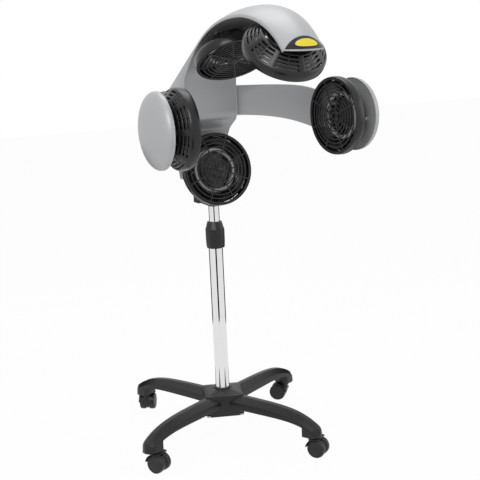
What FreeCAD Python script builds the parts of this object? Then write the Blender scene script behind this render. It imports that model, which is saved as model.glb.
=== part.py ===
import FreeCAD, Part
import math
import os

# Hair color processor: five ringed infrared lamps on a silver arch and two swinging arms,
# carried by a telescopic pole on a four-leg caster base.
# Frame: millimetres, +Z up, origin on the floor under the pole axis. The client sits on the
# -Y side and faces -Y, so the arch rises behind the head (+Y) and its tip points to -Y.

Vec = FreeCAD.Vector
Rot = FreeCAD.Rotation
X_AXIS, Y_AXIS, Z_AXIS = Vec(1, 0, 0), Vec(0, 1, 0), Vec(0, 0, 1)
ORIGIN = Vec(0, 0, 0)

SIZES = [
    # base
    ("leg_reach", 336, "pole axis to the end of a leg"),
    ("leg_heading", 27, "turn of the first leg about the pole, degrees"),
    ("leg_count", 4, "legs"),
    ("leg_root_width", 66, "leg width at the hub"),
    ("leg_tip_width", 46, "leg width at its end"),
    ("leg_root_top", 124, "top of a leg at the hub"),
    ("leg_tip_top", 78, "top of a leg at its end"),
    ("leg_underside", 92, "highest line of a leg's arched underside"),
    ("leg_under_fall", 10, "fall of the underside from there to the foot"),
    ("leg_foot_bottom", 56, "underside of the foot at a leg's end"),
    ("leg_ridge_width", 14, "narrow ridge along the top of a leg"),
    ("leg_shoulder", 13, "drop from the ridge to the edge of the side faces"),
    ("hub_width", 112, "hub block across its flats"),
    ("hub_cover_top", 140, "top of the hub cover"),
    ("hub_cover_step", 3, "upright edge round the hub cover"),
    ("hub_plate_thickness", 4, "steel plate under the hub"),
    ("hub_plate_width", 106, "steel plate across its flats"),
    ("hub_bottom", 66, "underside of the hub block"),
    # casters
    ("wheel_diameter", 50, "caster wheel"),
    ("wheel_width", 17, "one of the twin wheels"),
    ("caster_web", 11, "body between the twin wheels"),
    ("caster_reach", 306, "pole axis to the swivel axis of a caster"),
    ("caster_trail", 19, "swivel axis to axle"),
    ("stem_diameter", 11, "caster stem"),
    ("axle_diameter", 6, "caster axle"),
    # pole
    ("lower_tube_od", 40, "lower tube"),
    ("upper_tube_od", 30, "upper tube"),
    ("tube_wall", 2, "wall of both tubes"),
    ("lower_tube_top", 600, "top of the lower tube"),
    ("upper_tube_top", 670, "top of the upper tube, pole lowered"),
    ("upper_tube_length", 505, "upper tube"),
    ("collar_diameter", 55, "lock collar across its ribs"),
    ("collar_flutes", 10, "flutes of the lock collar's grip"),
    ("collar_bottom", 551, "bottom of the lock collar"),
    ("collar_shoulder", 609, "start of the collar's tapered top"),
    ("collar_top", 626, "top of the lock collar"),
    ("running_clearance", 0.08, "radial clearance of parts that turn or slide"),
    ("seat_clearance", 0.3, "clearance between fixed curved parts"),
    # head bracket
    ("elbow_thickness", 14, "flat arm that reaches back from the pole"),
    ("elbow_width", 30, "flat arm across"),
    ("spigot_length", 41, "spigot in the upper tube"),
    ("tilt_back", 72, "pole axis to tilt axis"),
    ("tilt_height", 713, "height of the tilt axis, pole lowered"),
    ("tilt_pin_diameter", 10, "tilt pin"),
    ("cheek_radius", 15, "fork cheek round the tilt pin"),
    ("lug_width", 30, "tilt lug between the cheeks"),
    ("cheek_thickness", 8, "fork cheek"),
    ("tilt_knob_diameter", 36, "tilt clamping knob"),
    ("tilt_knob_height", 20, "tilt clamping knob"),
    # arch
    ("spine_front", -18, "front edge of the spine"),
    ("spine_half_width", 77, "half width of the spine"),
    ("tip_half_width", 52, "half width of the arch at its tip"),
    ("arch_apex_y", -350, "apex of the arch edge"),
    ("arch_apex_z", 1176, "height of the arch edge at its apex"),
    ("arch_rear_radius", 425, "arch edge behind the apex"),
    ("arch_front_radius", 252, "arch edge before the apex"),
    ("arch_tip_angle", 47.2, "turn of the arch edge from apex to tip, degrees"),
    ("arch_corner_angle", 51.4, "turn of the arch edge from apex to spine, degrees"),
    ("arch_side", 6, "height of the shell's side wall on the arch"),
    ("arch_camber", 21, "rise of the shell's crown over its side walls"),
    ("back_camber", 21, "rise of the rear wall's crown over its sides"),
    ("back_slope_angle", 30, "slope of the back, degrees"),
    ("back_wall", 95, "rear wall of the spine, at its sides"),
    ("lower_front", 45, "front of the lower spine, behind the nape lamp"),
    ("spine_bottom", 740, "lower end of the spine"),
    ("bottom_half_width", 58, "half width of the spine at its lower end"),
    ("shell_wall", 3, "wall of the outer shell"),
    ("liner_wall", 2.5, "wall of the inner liner"),
    ("apron_half_width", 50, "half width of the liner's apron behind the nape lamp"),
    ("apron_bottom", 718, "lower edge of the liner's apron"),
    ("tip_bulge", 21, "how far the tip's middle reaches past its corners"),
    ("tip_lens_height", 24, "height of the tip panel over the line of its corners"),
    ("tip_panel_thickness", 1.2, "tip panel"),
    ("badge_half_width", 31, "oval badge"),
    ("badge_half_height", 13, "oval badge"),
    ("badge_thickness", 1.0, "oval badge"),
    # lamps
    ("lamp_diameter", 200, "lamp housing"),
    ("lamp_depth", 59, "lamp housing, front edge to rear"),
    ("lamp_wall", 2.5, "wall of the lamp housing"),
    ("vent_rows", 4, "rows of slots in a housing"),
    ("vent_sectors", 8, "groups of slots round a housing"),
    ("vent_width", 4.2, "width of a slot"),
    ("vent_spoke", 10, "solid wall between two groups of slots, degrees"),
    ("vent_rib", 1.8, "solid wall between the two slots of a pair, degrees"),
    ("grille_thickness", 2.6, "lamp grille"),
    ("grille_rings", 8, "rings of the grille"),
    ("grille_bar", 3.4, "width of a grille bar"),
    ("grille_dome", 8, "rise of the grille's middle over its border"),
    ("grille_border", 4, "solid border of the grille"),
    ("grille_hub", 6, "radius of the grille's solid middle"),
    ("bezel_lip", 2, "front lip of the housing round the grille"),
    ("grille_ledge", 5, "ledge in the housing that the grille stands on"),
    ("element_radius", 56, "ring tube, centre line"),
    ("element_tube", 11, "ring tube diameter"),
    ("post_radius", 44, "axis of a spine lamp to its stand-off posts"),
    ("side_post_radius", 54, "axis of a side lamp to its stand-off posts"),
    ("post_diameter", 9, "stand-off post"),
    ("nape_y", -45, "nape lamp, front centre"),
    ("nape_z", 778, "nape lamp, front centre"),
    ("nape_pitch", 13, "nape lamp looks up by, degrees"),
    ("rear_y", -175, "rear top lamp, front centre"),
    ("rear_z", 1070, "rear top lamp, front centre"),
    ("rear_pitch", -58, "rear top lamp looks down by, degrees"),
    ("front_y", -441.5, "front top lamp, front centre"),
    ("front_z", 1087, "front top lamp, front centre"),
    ("front_pitch", -52, "front top lamp looks down by, degrees"),
    ("side_x", 199.5, "side lamp, front centre"),
    ("side_y", -295, "side lamp, front centre"),
    ("side_z", 921, "side lamp, front centre"),
    ("right_toe", 7, "turn of the right disc about its pin, degrees"),
    ("left_toe", 2, "turn of the left disc about its pin, degrees"),
    # arms
    ("arm_pin_x", 61, "arm hinge pin from the middle"),
    ("arm_pin_y", 26, "arm hinge pin"),
    ("arm_pin_diameter", 10, "arm hinge pin"),
    ("arm_barrel", 22, "arm hinge barrel"),
    ("arm_root_bottom", 914, "lower edge of the arms at the hinge"),
    ("arm_height", 82, "height of the arms at the hinge"),
    ("arm_end_drop", 30, "fall of the arms' top edge from hinge to disc"),
    ("arm_end_flare", 52, "fall of the arms' lower edge from hinge to disc"),
    ("arm_thickness", 11, "arm band"),
    ("arm_bow", 28, "bow of the arm in plan between its pins"),
    ("disc_radius", 94, "side disc"),
    ("disc_rise", 34, "height of the side disc's dome"),
    ("disc_wall", 3, "wall of the side disc"),
    ("disc_gap", 6, "rear of a side lamp to its disc plate"),
    ("disc_plate_thickness", 3, "flat plate inside the disc"),
    ("disc_pin_diameter", 8, "disc hinge pin"),
    ("disc_pin_offset", 6, "disc hinge pin before the face of the disc plate"),
    ("disc_knuckle", 13, "disc hinge knuckle"),
    ("disc_knuckle_height", 40, "disc hinge knuckle"),
    ("fork_knuckle_height", 12, "one fork knuckle at the end of an arm"),
    ("side_post_angle", -100, "first stand-off post of a side lamp, degrees"),
    # controls
    ("panel_half_width", 47, "control panel"),
    ("panel_bottom", 770, "control panel"),
    ("panel_top", 934, "control panel"),
    ("panel_thickness", 14, "control panel, with its rim"),
    ("panel_wall", 3, "face and rim of the control panel"),
    ("panel_proud", 24, "face of the control panel behind the rear wall's sides"),
    ("knob_diameter", 42, "timer knob"),
    ("knob_height", 18, "timer knob"),
]

doc = FreeCAD.newDocument("HairColorProcessor")
sheet = doc.addObject("Spreadsheet::Sheet", "Sizes")
for row, (alias, value, note) in enumerate(SIZES, start=1):
    sheet.set("A%d" % row, note)
    sheet.set("B%d" % row, str(value))
    sheet.setAlias("B%d" % row, alias)
doc.recompute()
S = {alias: float(sheet.get(alias)) for alias, value, note in SIZES}
sub_parts = []
ARM_TOP = S["arm_root_bottom"] + S["arm_height"]
FAR = 400.0  # longer than any opening that is cut right through


def keep(obj, label):
    """Registers an object as one of the sub-parts that are written out."""
    obj.Label = label
    sub_parts.append(obj)
    return obj


def feature(label, shape, placement=None):
    """A sub-part whose shape is made here from the sheet's sizes."""
    obj = doc.addObject("Part::Feature", label)
    obj.Shape = shape
    if placement is not None:
        obj.Placement = placement
    return keep(obj, label)


def bound(kind, name, **expressions):
    """A Part primitive whose properties are bound to cells of the sheet."""
    obj = doc.addObject(kind, name)
    for prop, expression in expressions.items():
        obj.setExpression(prop.replace("__", "."), expression)
    return obj


def sized(expression):
    return expression.replace("$", "Sizes.")


def group(shapes):
    return Part.Compound(shapes)


def fused(shapes):
    solid = shapes[0].multiFuse(shapes[1:])
    return solid.removeSplitter()


def polygon(points):
    return Part.makePolygon(list(points) + [points[0]])


def turned(shape, angle, axis=Z_AXIS, centre=ORIGIN):
    copy = shape.copy()
    copy.rotate(centre, axis, angle)
    return copy


def moved(shape, x=0.0, y=0.0, z=0.0):
    copy = shape.copy()
    copy.translate(Vec(x, y, z))
    return copy


def mirrored(shape):
    return shape.mirror(ORIGIN, X_AXIS)


def cylinder(radius, height, base, axis=Z_AXIS):
    return Part.makeCylinder(radius, height, base, axis)


def box(x0, x1, y0, y1, z0, z1):
    return Part.makeBox(x1 - x0, y1 - y0, z1 - z0, Vec(x0, y0, z0))


# ---------------------------------------------------------------- base
LEG_STEP = 360 / S["leg_count"]
STEM_TOP = S["leg_tip_top"] - 7


def leg():
    """One leg along +X: a tapered bar with a ridge that falls towards a foot; arched underside."""
    reach, tip = S["leg_reach"], S["leg_tip_width"] / 2
    ridge, ridge_curve, lean = S["leg_ridge_width"] / 2, 6, 1.5
    sections = []
    for share in (0, 0.3, 0.5, 0.65, 0.78, 0.88, 0.95, 1):
        half = S["leg_root_width"] / 2 * (1 - share) + tip * share
        top = S["leg_root_top"] - (S["leg_root_top"] - S["leg_tip_top"]) * share ** ridge_curve
        low, edge = S["leg_foot_bottom"], top - S["leg_shoulder"]
        points = [(-half, low), (half, low), (half - lean, edge), (ridge, top), (-ridge, top),
                  (lean - half, edge)]
        sections.append(polygon([Vec(reach * share, y, z) for y, z in points]))
    bar = Part.makeLoft(sections, True, False)
    foot_start, under_curve, steps = reach - 2 * tip, 4, 12
    under = []
    for i in range(steps + 1):
        share = 2 * i / steps - 1
        fall = S["leg_under_fall"] * abs(share) ** under_curve
        under.append(Vec(foot_start * (share + 1) / 2, 0, S["leg_underside"] - fall))
    arch_line = Part.BSplineCurve()
    arch_line.interpolate(under)
    base_line = [under[-1], Vec(foot_start, 0, 0), Vec(0, 0, 0), under[0]]
    wire = Part.Wire([arch_line.toShape()] + list(Part.makePolygon(base_line).Edges))
    bar = bar.cut(moved(Part.Face(wire), 0, -FAR).extrude(Y_AXIS * 2 * FAR))
    keep_end = cylinder(tip, S["leg_root_top"], Vec(reach - tip, 0, 0))
    keep_rest = box(0, reach - tip, -FAR, FAR, 0, S["leg_root_top"])
    return bar.common(keep_end.fuse(keep_rest))


def base_legs():
    half = S["hub_width"] / 2
    block = box(-half, half, -half, half, S["hub_bottom"], S["leg_root_top"])
    chamfer = 16
    corner = polygon([Vec(half, half - chamfer, 0), Vec(half - chamfer, half, 0), Vec(half, half, 0)])
    cut = Part.Face(corner).extrude(Vec(0, 0, FAR))
    for i in range(4):
        block = block.cut(turned(cut, 90 * i))
    block.rotate(ORIGIN, Z_AXIS, 45)
    legs = [turned(leg(), i * LEG_STEP) for i in range(int(S["leg_count"]))]
    solid = fused([block] + legs)
    solid = solid.cut(cylinder(S["lower_tube_od"] / 2, FAR, ORIGIN))
    pocket = box(-half, half, -half, half, 0, S["hub_bottom"] + S["hub_plate_thickness"])
    pocket.rotate(ORIGIN, Z_AXIS, 45)
    solid = solid.cut(pocket)
    for i in range(int(S["leg_count"])):
        bore = S["stem_diameter"] / 2 + S["running_clearance"]
        socket = cylinder(bore, STEM_TOP + 1, Vec(S["caster_reach"], 0, 0))
        solid = solid.cut(turned(socket, i * LEG_STEP))
    return solid


def heading():
    return FreeCAD.Placement(ORIGIN, Rot(Z_AXIS, S["leg_heading"]))


def hub_cover():
    """Low four-sided pyramid on the hub with a round collar for the tube."""
    low, high = S["leg_root_top"], S["hub_cover_top"]
    edge, tube, collar_wall, collar_stand = S["hub_width"] / 2 - 2, S["lower_tube_od"] / 2, 5, 3
    square = ((-1, -1), (1, -1), (1, 1), (-1, 1))
    wires = []
    for z, half in ((low, edge), (low + S["hub_cover_step"], edge - 0.5), (high - collar_stand, tube + 2)):
        wires.append(polygon([Vec(x * half, y * half, z) for x, y in square]))
    cap = Part.makeLoft(wires, True, True)
    collar = cylinder(tube + collar_wall, high - low, Vec(0, 0, low))
    cap = fused([turned(cap, 45), collar])
    return cap.cut(cylinder(tube + S["seat_clearance"], FAR, ORIGIN))


feature("base_legs", base_legs(), heading())
feature("hub_cover", hub_cover(), heading())

# steel plate under the hub, a PartDesign pad with the tube's seat left whole
plate_body = doc.addObject("PartDesign::Body", "HubPlateBody")
plate_sketch = plate_body.newObject("Sketcher::SketchObject", "HubPlateSketch")
xy_plane = [f for f in plate_body.Origin.OriginFeatures if f.Role == "XY_Plane"][0]
plate_sketch.AttachmentSupport = [(xy_plane, "")]
plate_sketch.MapMode = "FlatFace"
plate_half = S["hub_plate_width"] / 2
corners = [Vec(-plate_half, -plate_half, 0), Vec(plate_half, -plate_half, 0),
           Vec(plate_half, plate_half, 0), Vec(-plate_half, plate_half, 0)]
for i in range(4):
    plate_sketch.addGeometry(Part.LineSegment(corners[i], corners[(i + 1) % 4]), False)
plate_pad = plate_body.newObject("PartDesign::Pad", "HubPlatePad")
plate_pad.Profile = plate_sketch
plate_pad.setExpression("Length", sized("$hub_plate_thickness"))
plate_turn = Rot(Z_AXIS, S["leg_heading"] + 45)
plate_body.Placement = FreeCAD.Placement(Vec(0, 0, S["hub_bottom"]), plate_turn)
keep(plate_body, "hub_plate")


# ---------------------------------------------------------------- casters
WHEEL = S["wheel_diameter"] / 2
WEB = S["caster_web"] / 2
STEM_BOTTOM = WHEEL + 4


def caster_hood():
    """Hooded body with its web between the wheels; axle along Y at -X of the stem."""
    axle = Vec(-S["caster_trail"], 0, WHEEL)
    wheel_room = WHEEL + 1.5
    half = WEB + S["wheel_width"] + 1.2
    left, inner_left = axle - Y_AXIS * half, axle + Y_AXIS * (0.5 - WEB)
    hood = cylinder(WHEEL + 4, 2 * half, left, Y_AXIS).cut(cylinder(wheel_room, 2 * half, left, Y_AXIS))
    hood = hood.cut(box(-FAR, FAR, -FAR, FAR, -FAR, STEM_BOTTOM))
    hood_tail = 9
    hood = hood.cut(box(-FAR, axle.x - hood_tail, -FAR, FAR, -FAR, FAR))
    web = cylinder(WHEEL - 3, 2 * WEB - 1, inner_left, Y_AXIS)
    post = cylinder(9.5, S["leg_foot_bottom"] - 1 - WHEEL, Vec(0, 0, WHEEL))
    neck = box(-S["caster_trail"], 3, 0.5 - WEB, WEB - 0.5, WHEEL, WHEEL + 24)
    wheel_gap = cylinder(wheel_room, S["wheel_width"] + 2, axle + Y_AXIS * (WEB - 0.5), Y_AXIS)
    post = post.cut(wheel_gap).cut(wheel_gap.mirror(ORIGIN, Y_AXIS))
    body = fused([hood, web, post, neck])
    body = body.cut(cylinder(S["stem_diameter"] / 2, 100, Vec(0, 0, STEM_BOTTOM)))
    return body.cut(cylinder(S["axle_diameter"] / 2, 100, axle - Y_AXIS * 50, Y_AXIS))


def caster_steel():
    stem = cylinder(S["stem_diameter"] / 2, STEM_TOP - STEM_BOTTOM, Vec(0, 0, STEM_BOTTOM))
    half = WEB + S["wheel_width"]
    axle = cylinder(S["axle_diameter"] / 2, 2 * half, Vec(-S["caster_trail"], -half, WHEEL), Y_AXIS)
    return group([stem, axle])


def caster_wheels():
    """Two wheels; the profile is in radii and in shares of a wheel's width."""
    bore = S["axle_diameter"] / 2 + S["running_clearance"]
    dish = 0.42
    profile = [(bore, -0.5), (WHEEL - 2, -0.5), (WHEEL, -0.35), (WHEEL, 0.3), (WHEEL - 3, 0.5), (9, 0.5),
               (8, dish), (bore, dish)]
    wheels = []
    for side in (1, -1):
        points = [Vec(r, 0, side * share * S["wheel_width"]) for r, share in profile]
        wheel = Part.Face(polygon(points)).revolve(ORIGIN, Z_AXIS, 360)
        wheel.rotate(ORIGIN, X_AXIS, -90)
        wheels.append(moved(wheel, -S["caster_trail"], side * (WEB + S["wheel_width"] / 2), WHEEL))
    return group(wheels)


# each caster's leg, counted from the first, and how far its fork has swivelled
CASTERS = {"a": (1, 238), "b": (2, 120), "c": (3, 126), "d": (0, 320)}
hood_shape, steel_shape, wheels_shape = caster_hood(), caster_steel(), caster_wheels()
for key, (leg_number, swivel) in CASTERS.items():
    angle = math.radians(S["leg_heading"] + leg_number * LEG_STEP)
    place = FreeCAD.Placement(Vec(math.cos(angle), math.sin(angle), 0) * S["caster_reach"], Rot(Z_AXIS, swivel))
    feature("caster_hood_" + key, hood_shape.copy(), place)
    feature("caster_steel_" + key, steel_shape.copy(), place)
    feature("caster_wheels_" + key, wheels_shape.copy(), place)

# ---------------------------------------------------------------- pole

def bound_tube(label, outer, wall, bottom, length):
    """Tube as a cut of two cylinders, all bound to the sheet."""
    body = bound("Part::Cylinder", label + "_outside", Radius=sized(outer + "/2"), Height=sized(length))
    bore = bound("Part::Cylinder", label + "_bore", Radius=sized(outer + "/2-" + wall), Height=sized(length))
    for part in (body, bore):
        part.setExpression("Placement.Base.z", sized(bottom))
    cut = doc.addObject("Part::Cut", label)
    cut.Base = body
    cut.Tool = bore
    return keep(cut, label)


bound_tube("lower_tube", "$lower_tube_od", "$tube_wall", "$hub_bottom+$hub_plate_thickness",
           "$lower_tube_top-$hub_bottom-$hub_plate_thickness")
bound_tube("upper_tube", "$upper_tube_od", "$tube_wall", "$upper_tube_top-$upper_tube_length",
           "$upper_tube_length")


def revolved(points):
    """Solid of revolution about Z from (radius, height) points."""
    face = Part.Face(polygon([Vec(r, 0, z) for r, z in points]))
    return face.revolve(ORIGIN, Z_AXIS, 360)


def collar_sleeve():
    """Split bush in the top of the lower tube that the collar squeezes on the upper tube."""
    run = S["upper_tube_od"] / 2 + S["running_clearance"]
    bore = S["lower_tube_od"] / 2 - S["tube_wall"]
    top = S["lower_tube_top"]
    sleeve = revolved([(run, top - 70), (bore, top - 70), (bore, top), (S["lower_tube_od"] / 2, top),
                       (S["lower_tube_od"] / 2, top + 3), (bore, top + 3), (run + 1.6, S["collar_top"] - 6),
                       (run, S["collar_top"] - 6)])
    slit = box(-0.8, 0.8, -40, 40, top + 3, S["collar_top"])
    return sleeve.cut(slit).cut(turned(slit, 90))


def lock_collar():
    """Ribbed grip with a tapered top, turned by hand to lock the upper tube."""
    gap = S["seat_clearance"]
    outer = S["collar_diameter"] / 2
    tube = S["lower_tube_od"] / 2
    run = S["upper_tube_od"] / 2
    low, shoulder, top = S["collar_bottom"], S["collar_shoulder"], S["collar_top"]
    step = S["lower_tube_top"] + 3 + gap
    body = revolved([(tube + gap, low), (outer - 3, low), (outer - 1, low + 4), (outer, low + 24),
                     (outer, shoulder - 5), (outer - 2.5, shoulder), (run + 5.5, top), (run + gap, top),
                     (run + gap, top - 5), (run + 2.4, top - 5.5), (tube + gap, step + 1), (tube + gap, low)])
    for i in range(int(S["collar_flutes"])):
        flute = cylinder(3.4, shoulder - low - 14, Vec(outer + 1.6, 0, low + 8))
        body = body.cut(turned(flute, 360 / S["collar_flutes"] * i))
    return body


def tube_glide():
    """Plastic plug on the lower end of the upper tube that guides it in the lower tube."""
    guide = S["lower_tube_od"] / 2 - S["tube_wall"] - S["running_clearance"]
    inside = S["upper_tube_od"] / 2 - S["tube_wall"]
    bottom = S["upper_tube_top"] - S["upper_tube_length"]
    flange = cylinder(guide, 20, Vec(0, 0, bottom - 20))
    plug = cylinder(inside, 25, Vec(0, 0, bottom))
    return flange.fuse(plug).removeSplitter()


feature("collar_sleeve", collar_sleeve())
feature("lock_collar", lock_collar())
feature("tube_glide", tube_glide())


# ---------------------------------------------------------------- head bracket
def elbow():
    """Spigot in the pole, flat arm to the rear and a fork for the tilt pin."""
    top = S["upper_tube_top"]
    spigot_radius = S["upper_tube_od"] / 2 - S["tube_wall"] - S["running_clearance"]
    spigot = cylinder(spigot_radius, S["spigot_length"] + 2, Vec(0, 0, top - S["spigot_length"]))
    half = S["elbow_width"] / 2
    plate_low = top + S["seat_clearance"]
    plate_high = plate_low + S["elbow_thickness"]
    end = S["tilt_back"] + S["cheek_radius"]
    nose = cylinder(half, S["elbow_thickness"], Vec(0, 0, plate_low))
    arm = box(-half, half, 0, end, plate_low, plate_high)
    inner = S["lug_width"] / 2 + S["seat_clearance"]
    outer = inner + S["cheek_thickness"]
    foot = box(-outer, outer, S["tilt_back"] - S["cheek_radius"], end, plate_low, plate_high)
    cheeks = []
    for x in (-outer, inner):
        axis_end = Vec(x, S["tilt_back"], S["tilt_height"])
        cheeks.append(cylinder(S["cheek_radius"], S["cheek_thickness"], axis_end, X_AXIS))
        cheeks.append(box(x, x + S["cheek_thickness"], S["tilt_back"] - S["cheek_radius"], end, plate_low,
                          S["tilt_height"]))
    body = fused([spigot, nose, arm, foot] + cheeks)
    pin = cylinder(S["tilt_pin_diameter"] / 2, 200, Vec(-100, S["tilt_back"], S["tilt_height"]), X_AXIS)
    return body.cut(pin)


def tilt_lug():
    """Block under the spine that turns on the tilt pin."""
    half = S["lug_width"] / 2
    r = S["cheek_radius"] - 1
    y, z = S["tilt_back"], S["tilt_height"]
    flange_low = S["spine_bottom"] - 5
    eye = cylinder(r, 2 * half, Vec(-half, y, z), X_AXIS)
    web = box(-half, half, y - r, y + r, z, flange_low)
    flange = box(-half - 14, half + 14, y - r - 8, y + r + 8, flange_low, S["spine_bottom"])
    bore = cylinder(S["tilt_pin_diameter"] / 2 + S["running_clearance"], 200, Vec(-100, y, z), X_AXIS)
    return fused([eye, web, flange]).cut(bore)


FORK_OUTSIDE = S["lug_width"] / 2 + S["seat_clearance"] + S["cheek_thickness"]


def tilt_pin():
    y, z = S["tilt_back"], S["tilt_height"]
    head_height = 4
    shaft = cylinder(S["tilt_pin_diameter"] / 2, 2 * FORK_OUTSIDE + S["tilt_knob_height"] - 2,
                     Vec(-FORK_OUTSIDE, y, z), X_AXIS)
    head_start = Vec(-FORK_OUTSIDE - head_height, y, z)
    head = cylinder(S["tilt_pin_diameter"] / 2 + 4, head_height, head_start, X_AXIS)
    return shaft.fuse(head).removeSplitter()


def tilt_knob():
    """Lobed clamping knob on the threaded end of the tilt pin."""
    start = Vec(FORK_OUTSIDE + 0.5, S["tilt_back"], S["tilt_height"])
    radius, height = S["tilt_knob_diameter"] / 2, S["tilt_knob_height"]
    lobes, lobe_radius = 6, 5
    body = cylinder(radius - 4, height, start, X_AXIS)
    for i in range(lobes):
        lobe = cylinder(lobe_radius, height - 4, start + X_AXIS * 4 + Y_AXIS * (radius - lobe_radius), X_AXIS)
        body = body.fuse(turned(lobe, 360 / lobes * i, X_AXIS, start))
    hole = cylinder(S["tilt_pin_diameter"] / 2 + S["running_clearance"], height - 2, start, X_AXIS)
    return body.removeSplitter().cut(hole)


feature("elbow", elbow())
feature("tilt_lug", tilt_lug())
feature("tilt_pin", tilt_pin())
feature("tilt_knob", tilt_knob())


# ---------------------------------------------------------------- arch
# The edge of the arch is two arcs that meet at the apex. A station is a point of that edge
# (y, z), the direction that points outward there (degrees from +Y towards +Z) and a half width.
def station(turn):
    """Edge station at a turn from the apex, in degrees; positive turns lie to the rear."""
    radius = S["arch_rear_radius"] if turn >= 0 else S["arch_front_radius"]
    angle = math.radians(turn)
    y = S["arch_apex_y"] + radius * math.sin(angle)
    z = S["arch_apex_z"] - radius * (1 - math.cos(angle))
    slope, tip = S["back_slope_angle"], -S["arch_tip_angle"]
    share = min(1.0, max(0.0, (slope - turn) / (slope - tip)))
    ease = share * share * (3 - 2 * share)
    half = S["spine_half_width"] * (1 - ease) + S["tip_half_width"] * ease
    return y, z, 90 - turn, half


ARCH_TURNS = [30, 22, 14, 7, 0, -8, -16, -24, -32, -40, -S["arch_tip_angle"], -S["arch_tip_angle"] - 8]
LINER_TURNS = [58, 50, 40] + ARCH_TURNS


def arched_section(place, half, low, side, crown):
    """Closed section across a station: chord at low, side walls to side, crown in the middle."""
    y, z, outward = place
    a = math.radians(outward)

    def at(x, n):
        return Vec(x, y + n * math.cos(a), z + n * math.sin(a))
    edges = [Part.LineSegment(at(-half, low), at(half, low)),
             Part.LineSegment(at(half, low), at(half, side)),
             Part.Arc(at(half, side), at(0, crown), at(-half, side)),
             Part.LineSegment(at(-half, side), at(-half, low))]
    return Part.Wire([e.toShape() for e in edges])


def side_prism(points, half):
    """Prism across X from (y, z) points."""
    face = Part.Face(polygon([Vec(-half, y, z) for y, z in points]))
    return face.extrude(Vec(2 * half, 0, 0))


def arch_body(inset, low, rise=0.0):
    """The arch from the foot of its slope to past the tip, as one smooth loft."""
    sections = []
    for turn in ARCH_TURNS:
        y, z, outward, half = station(turn)
        side = S["arch_side"] - inset / 2 + rise
        sections.append(arched_section((y, z, outward), half - inset + rise, low, side,
                                       S["arch_side"] + S["arch_camber"] - inset + rise))
    return Part.makeLoft(sections, True, False)


def slope_prism(inset, length):
    """Everything under the crown of the straight back slope."""
    y, z, outward, half = station(S["back_slope_angle"])
    wire = arched_section((y, z, outward), half - inset, -FAR, S["arch_side"] - inset / 2,
                          S["arch_side"] + S["arch_camber"] - inset)
    a = math.radians(S["back_slope_angle"])
    return Part.Face(wire).extrude(Vec(0, math.cos(a), -math.sin(a)) * length)


def rear_prism(inset):
    """Upright prism of the spine: flat sides and a crowned rear wall, narrower at its lower end."""
    half, rear = S["spine_half_width"] - inset, S["back_wall"]
    crown = rear + S["back_camber"] - inset
    edges = [Part.LineSegment(Vec(-half, -300, 0), Vec(half, -300, 0)),
             Part.LineSegment(Vec(half, -300, 0), Vec(half, rear - inset / 2, 0)),
             Part.Arc(Vec(half, rear - inset / 2, 0), Vec(0, crown, 0), Vec(-half, rear - inset / 2, 0)),
             Part.LineSegment(Vec(-half, rear - inset / 2, 0), Vec(-half, -300, 0))]
    prism = Part.Face(Part.Wire([e.toShape() for e in edges])).extrude(Vec(0, 0, 1400))
    waist = S["arm_root_bottom"] - 30
    low_half = S["bottom_half_width"] - inset
    for side in (1, -1):
        points = [(half, waist), (FAR, waist), (FAR, 0), (low_half, 0), (low_half, S["spine_bottom"])]
        wedge = Part.Face(polygon([Vec(side * x, -FAR, z) for x, z in points])).extrude(Y_AXIS * 2 * FAR)
        prism = prism.cut(wedge)
    return prism


def front_line(offset):
    """Front of the spine as (y, z) points from the top down, stepping back behind the nape lamp."""
    front, back = S["spine_front"] + offset, S["lower_front"] + offset
    waist = S["arm_root_bottom"]
    return [(front, waist + 8), (front + 9, waist - 8), (back - 12, waist - 34), (back, waist - 58)]


def edge_arc(offset):
    """Edge of the arch from the foot of the slope to the spine, as (y, z) points."""
    points = []
    for turn in (30, 35, 40, 45, S["arch_corner_angle"]):
        angle = math.radians(turn)
        radius = S["arch_rear_radius"] + offset
        points.append((S["arch_apex_y"] + radius * math.sin(angle),
                       S["arch_apex_z"] - S["arch_rear_radius"] + radius * math.cos(angle)))
    return points


def spine_body():
    """The rear housing: side outline, back slope and crowned rear wall together."""
    y, z, outward, half = station(S["back_slope_angle"])
    a = math.radians(outward)
    reach = 60
    outline = [(y + reach * math.cos(a), z + reach * math.sin(a))] + edge_arc(0.0) + front_line(0.0)
    outline += [(S["lower_front"], S["spine_bottom"]), (300, S["spine_bottom"]), (300, 1000)]
    solid = side_prism(outline, 200).common(slope_prism(0.0, 420)).common(rear_prism(0.0))
    return solid


def cavity(inset):
    """Room inside the shell, open to the front."""
    room = slope_prism(inset, 420).common(rear_prism(inset))
    room = room.common(box(-200, 200, -400, 400, S["spine_bottom"] + 4, 1300))
    return room.fuse(arch_body(inset, -40.0)).removeSplitter()


def front_space(offset):
    """Everything on the client's side of the liner face, offset towards the shell."""
    outline = [(-800, 600), (S["lower_front"] + offset, 600)] + front_line(offset)[::-1]
    outline += [(S["spine_front"] + offset, 1300), (-800, 1300)]
    flat = side_prism(outline, 200)
    below_arch = [(-800, 600), (100, 600), (100, 1000), (-100, 1000), (-200, 900), (-800, 900)]
    below = side_prism(below_arch, 200)
    sections = []
    for turn in LINER_TURNS:
        y, z, outward, half = station(turn)
        edge_rise, spine_crown, eased_from, eased_over = 1.0, 10.0, 34, 16
        full = S["arch_side"] + S["arch_camber"] - S["shell_wall"] - S["liner_wall"] - edge_rise
        share = min(1.0, max(0.0, (eased_from - turn) / eased_over))
        crown = spine_crown * (1 - share) + full * share
        sections.append(arched_section((y, z, outward), half, -150, edge_rise + offset, crown + offset))
    return flat.common(Part.makeLoft(sections, True, False).fuse(below))


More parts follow.
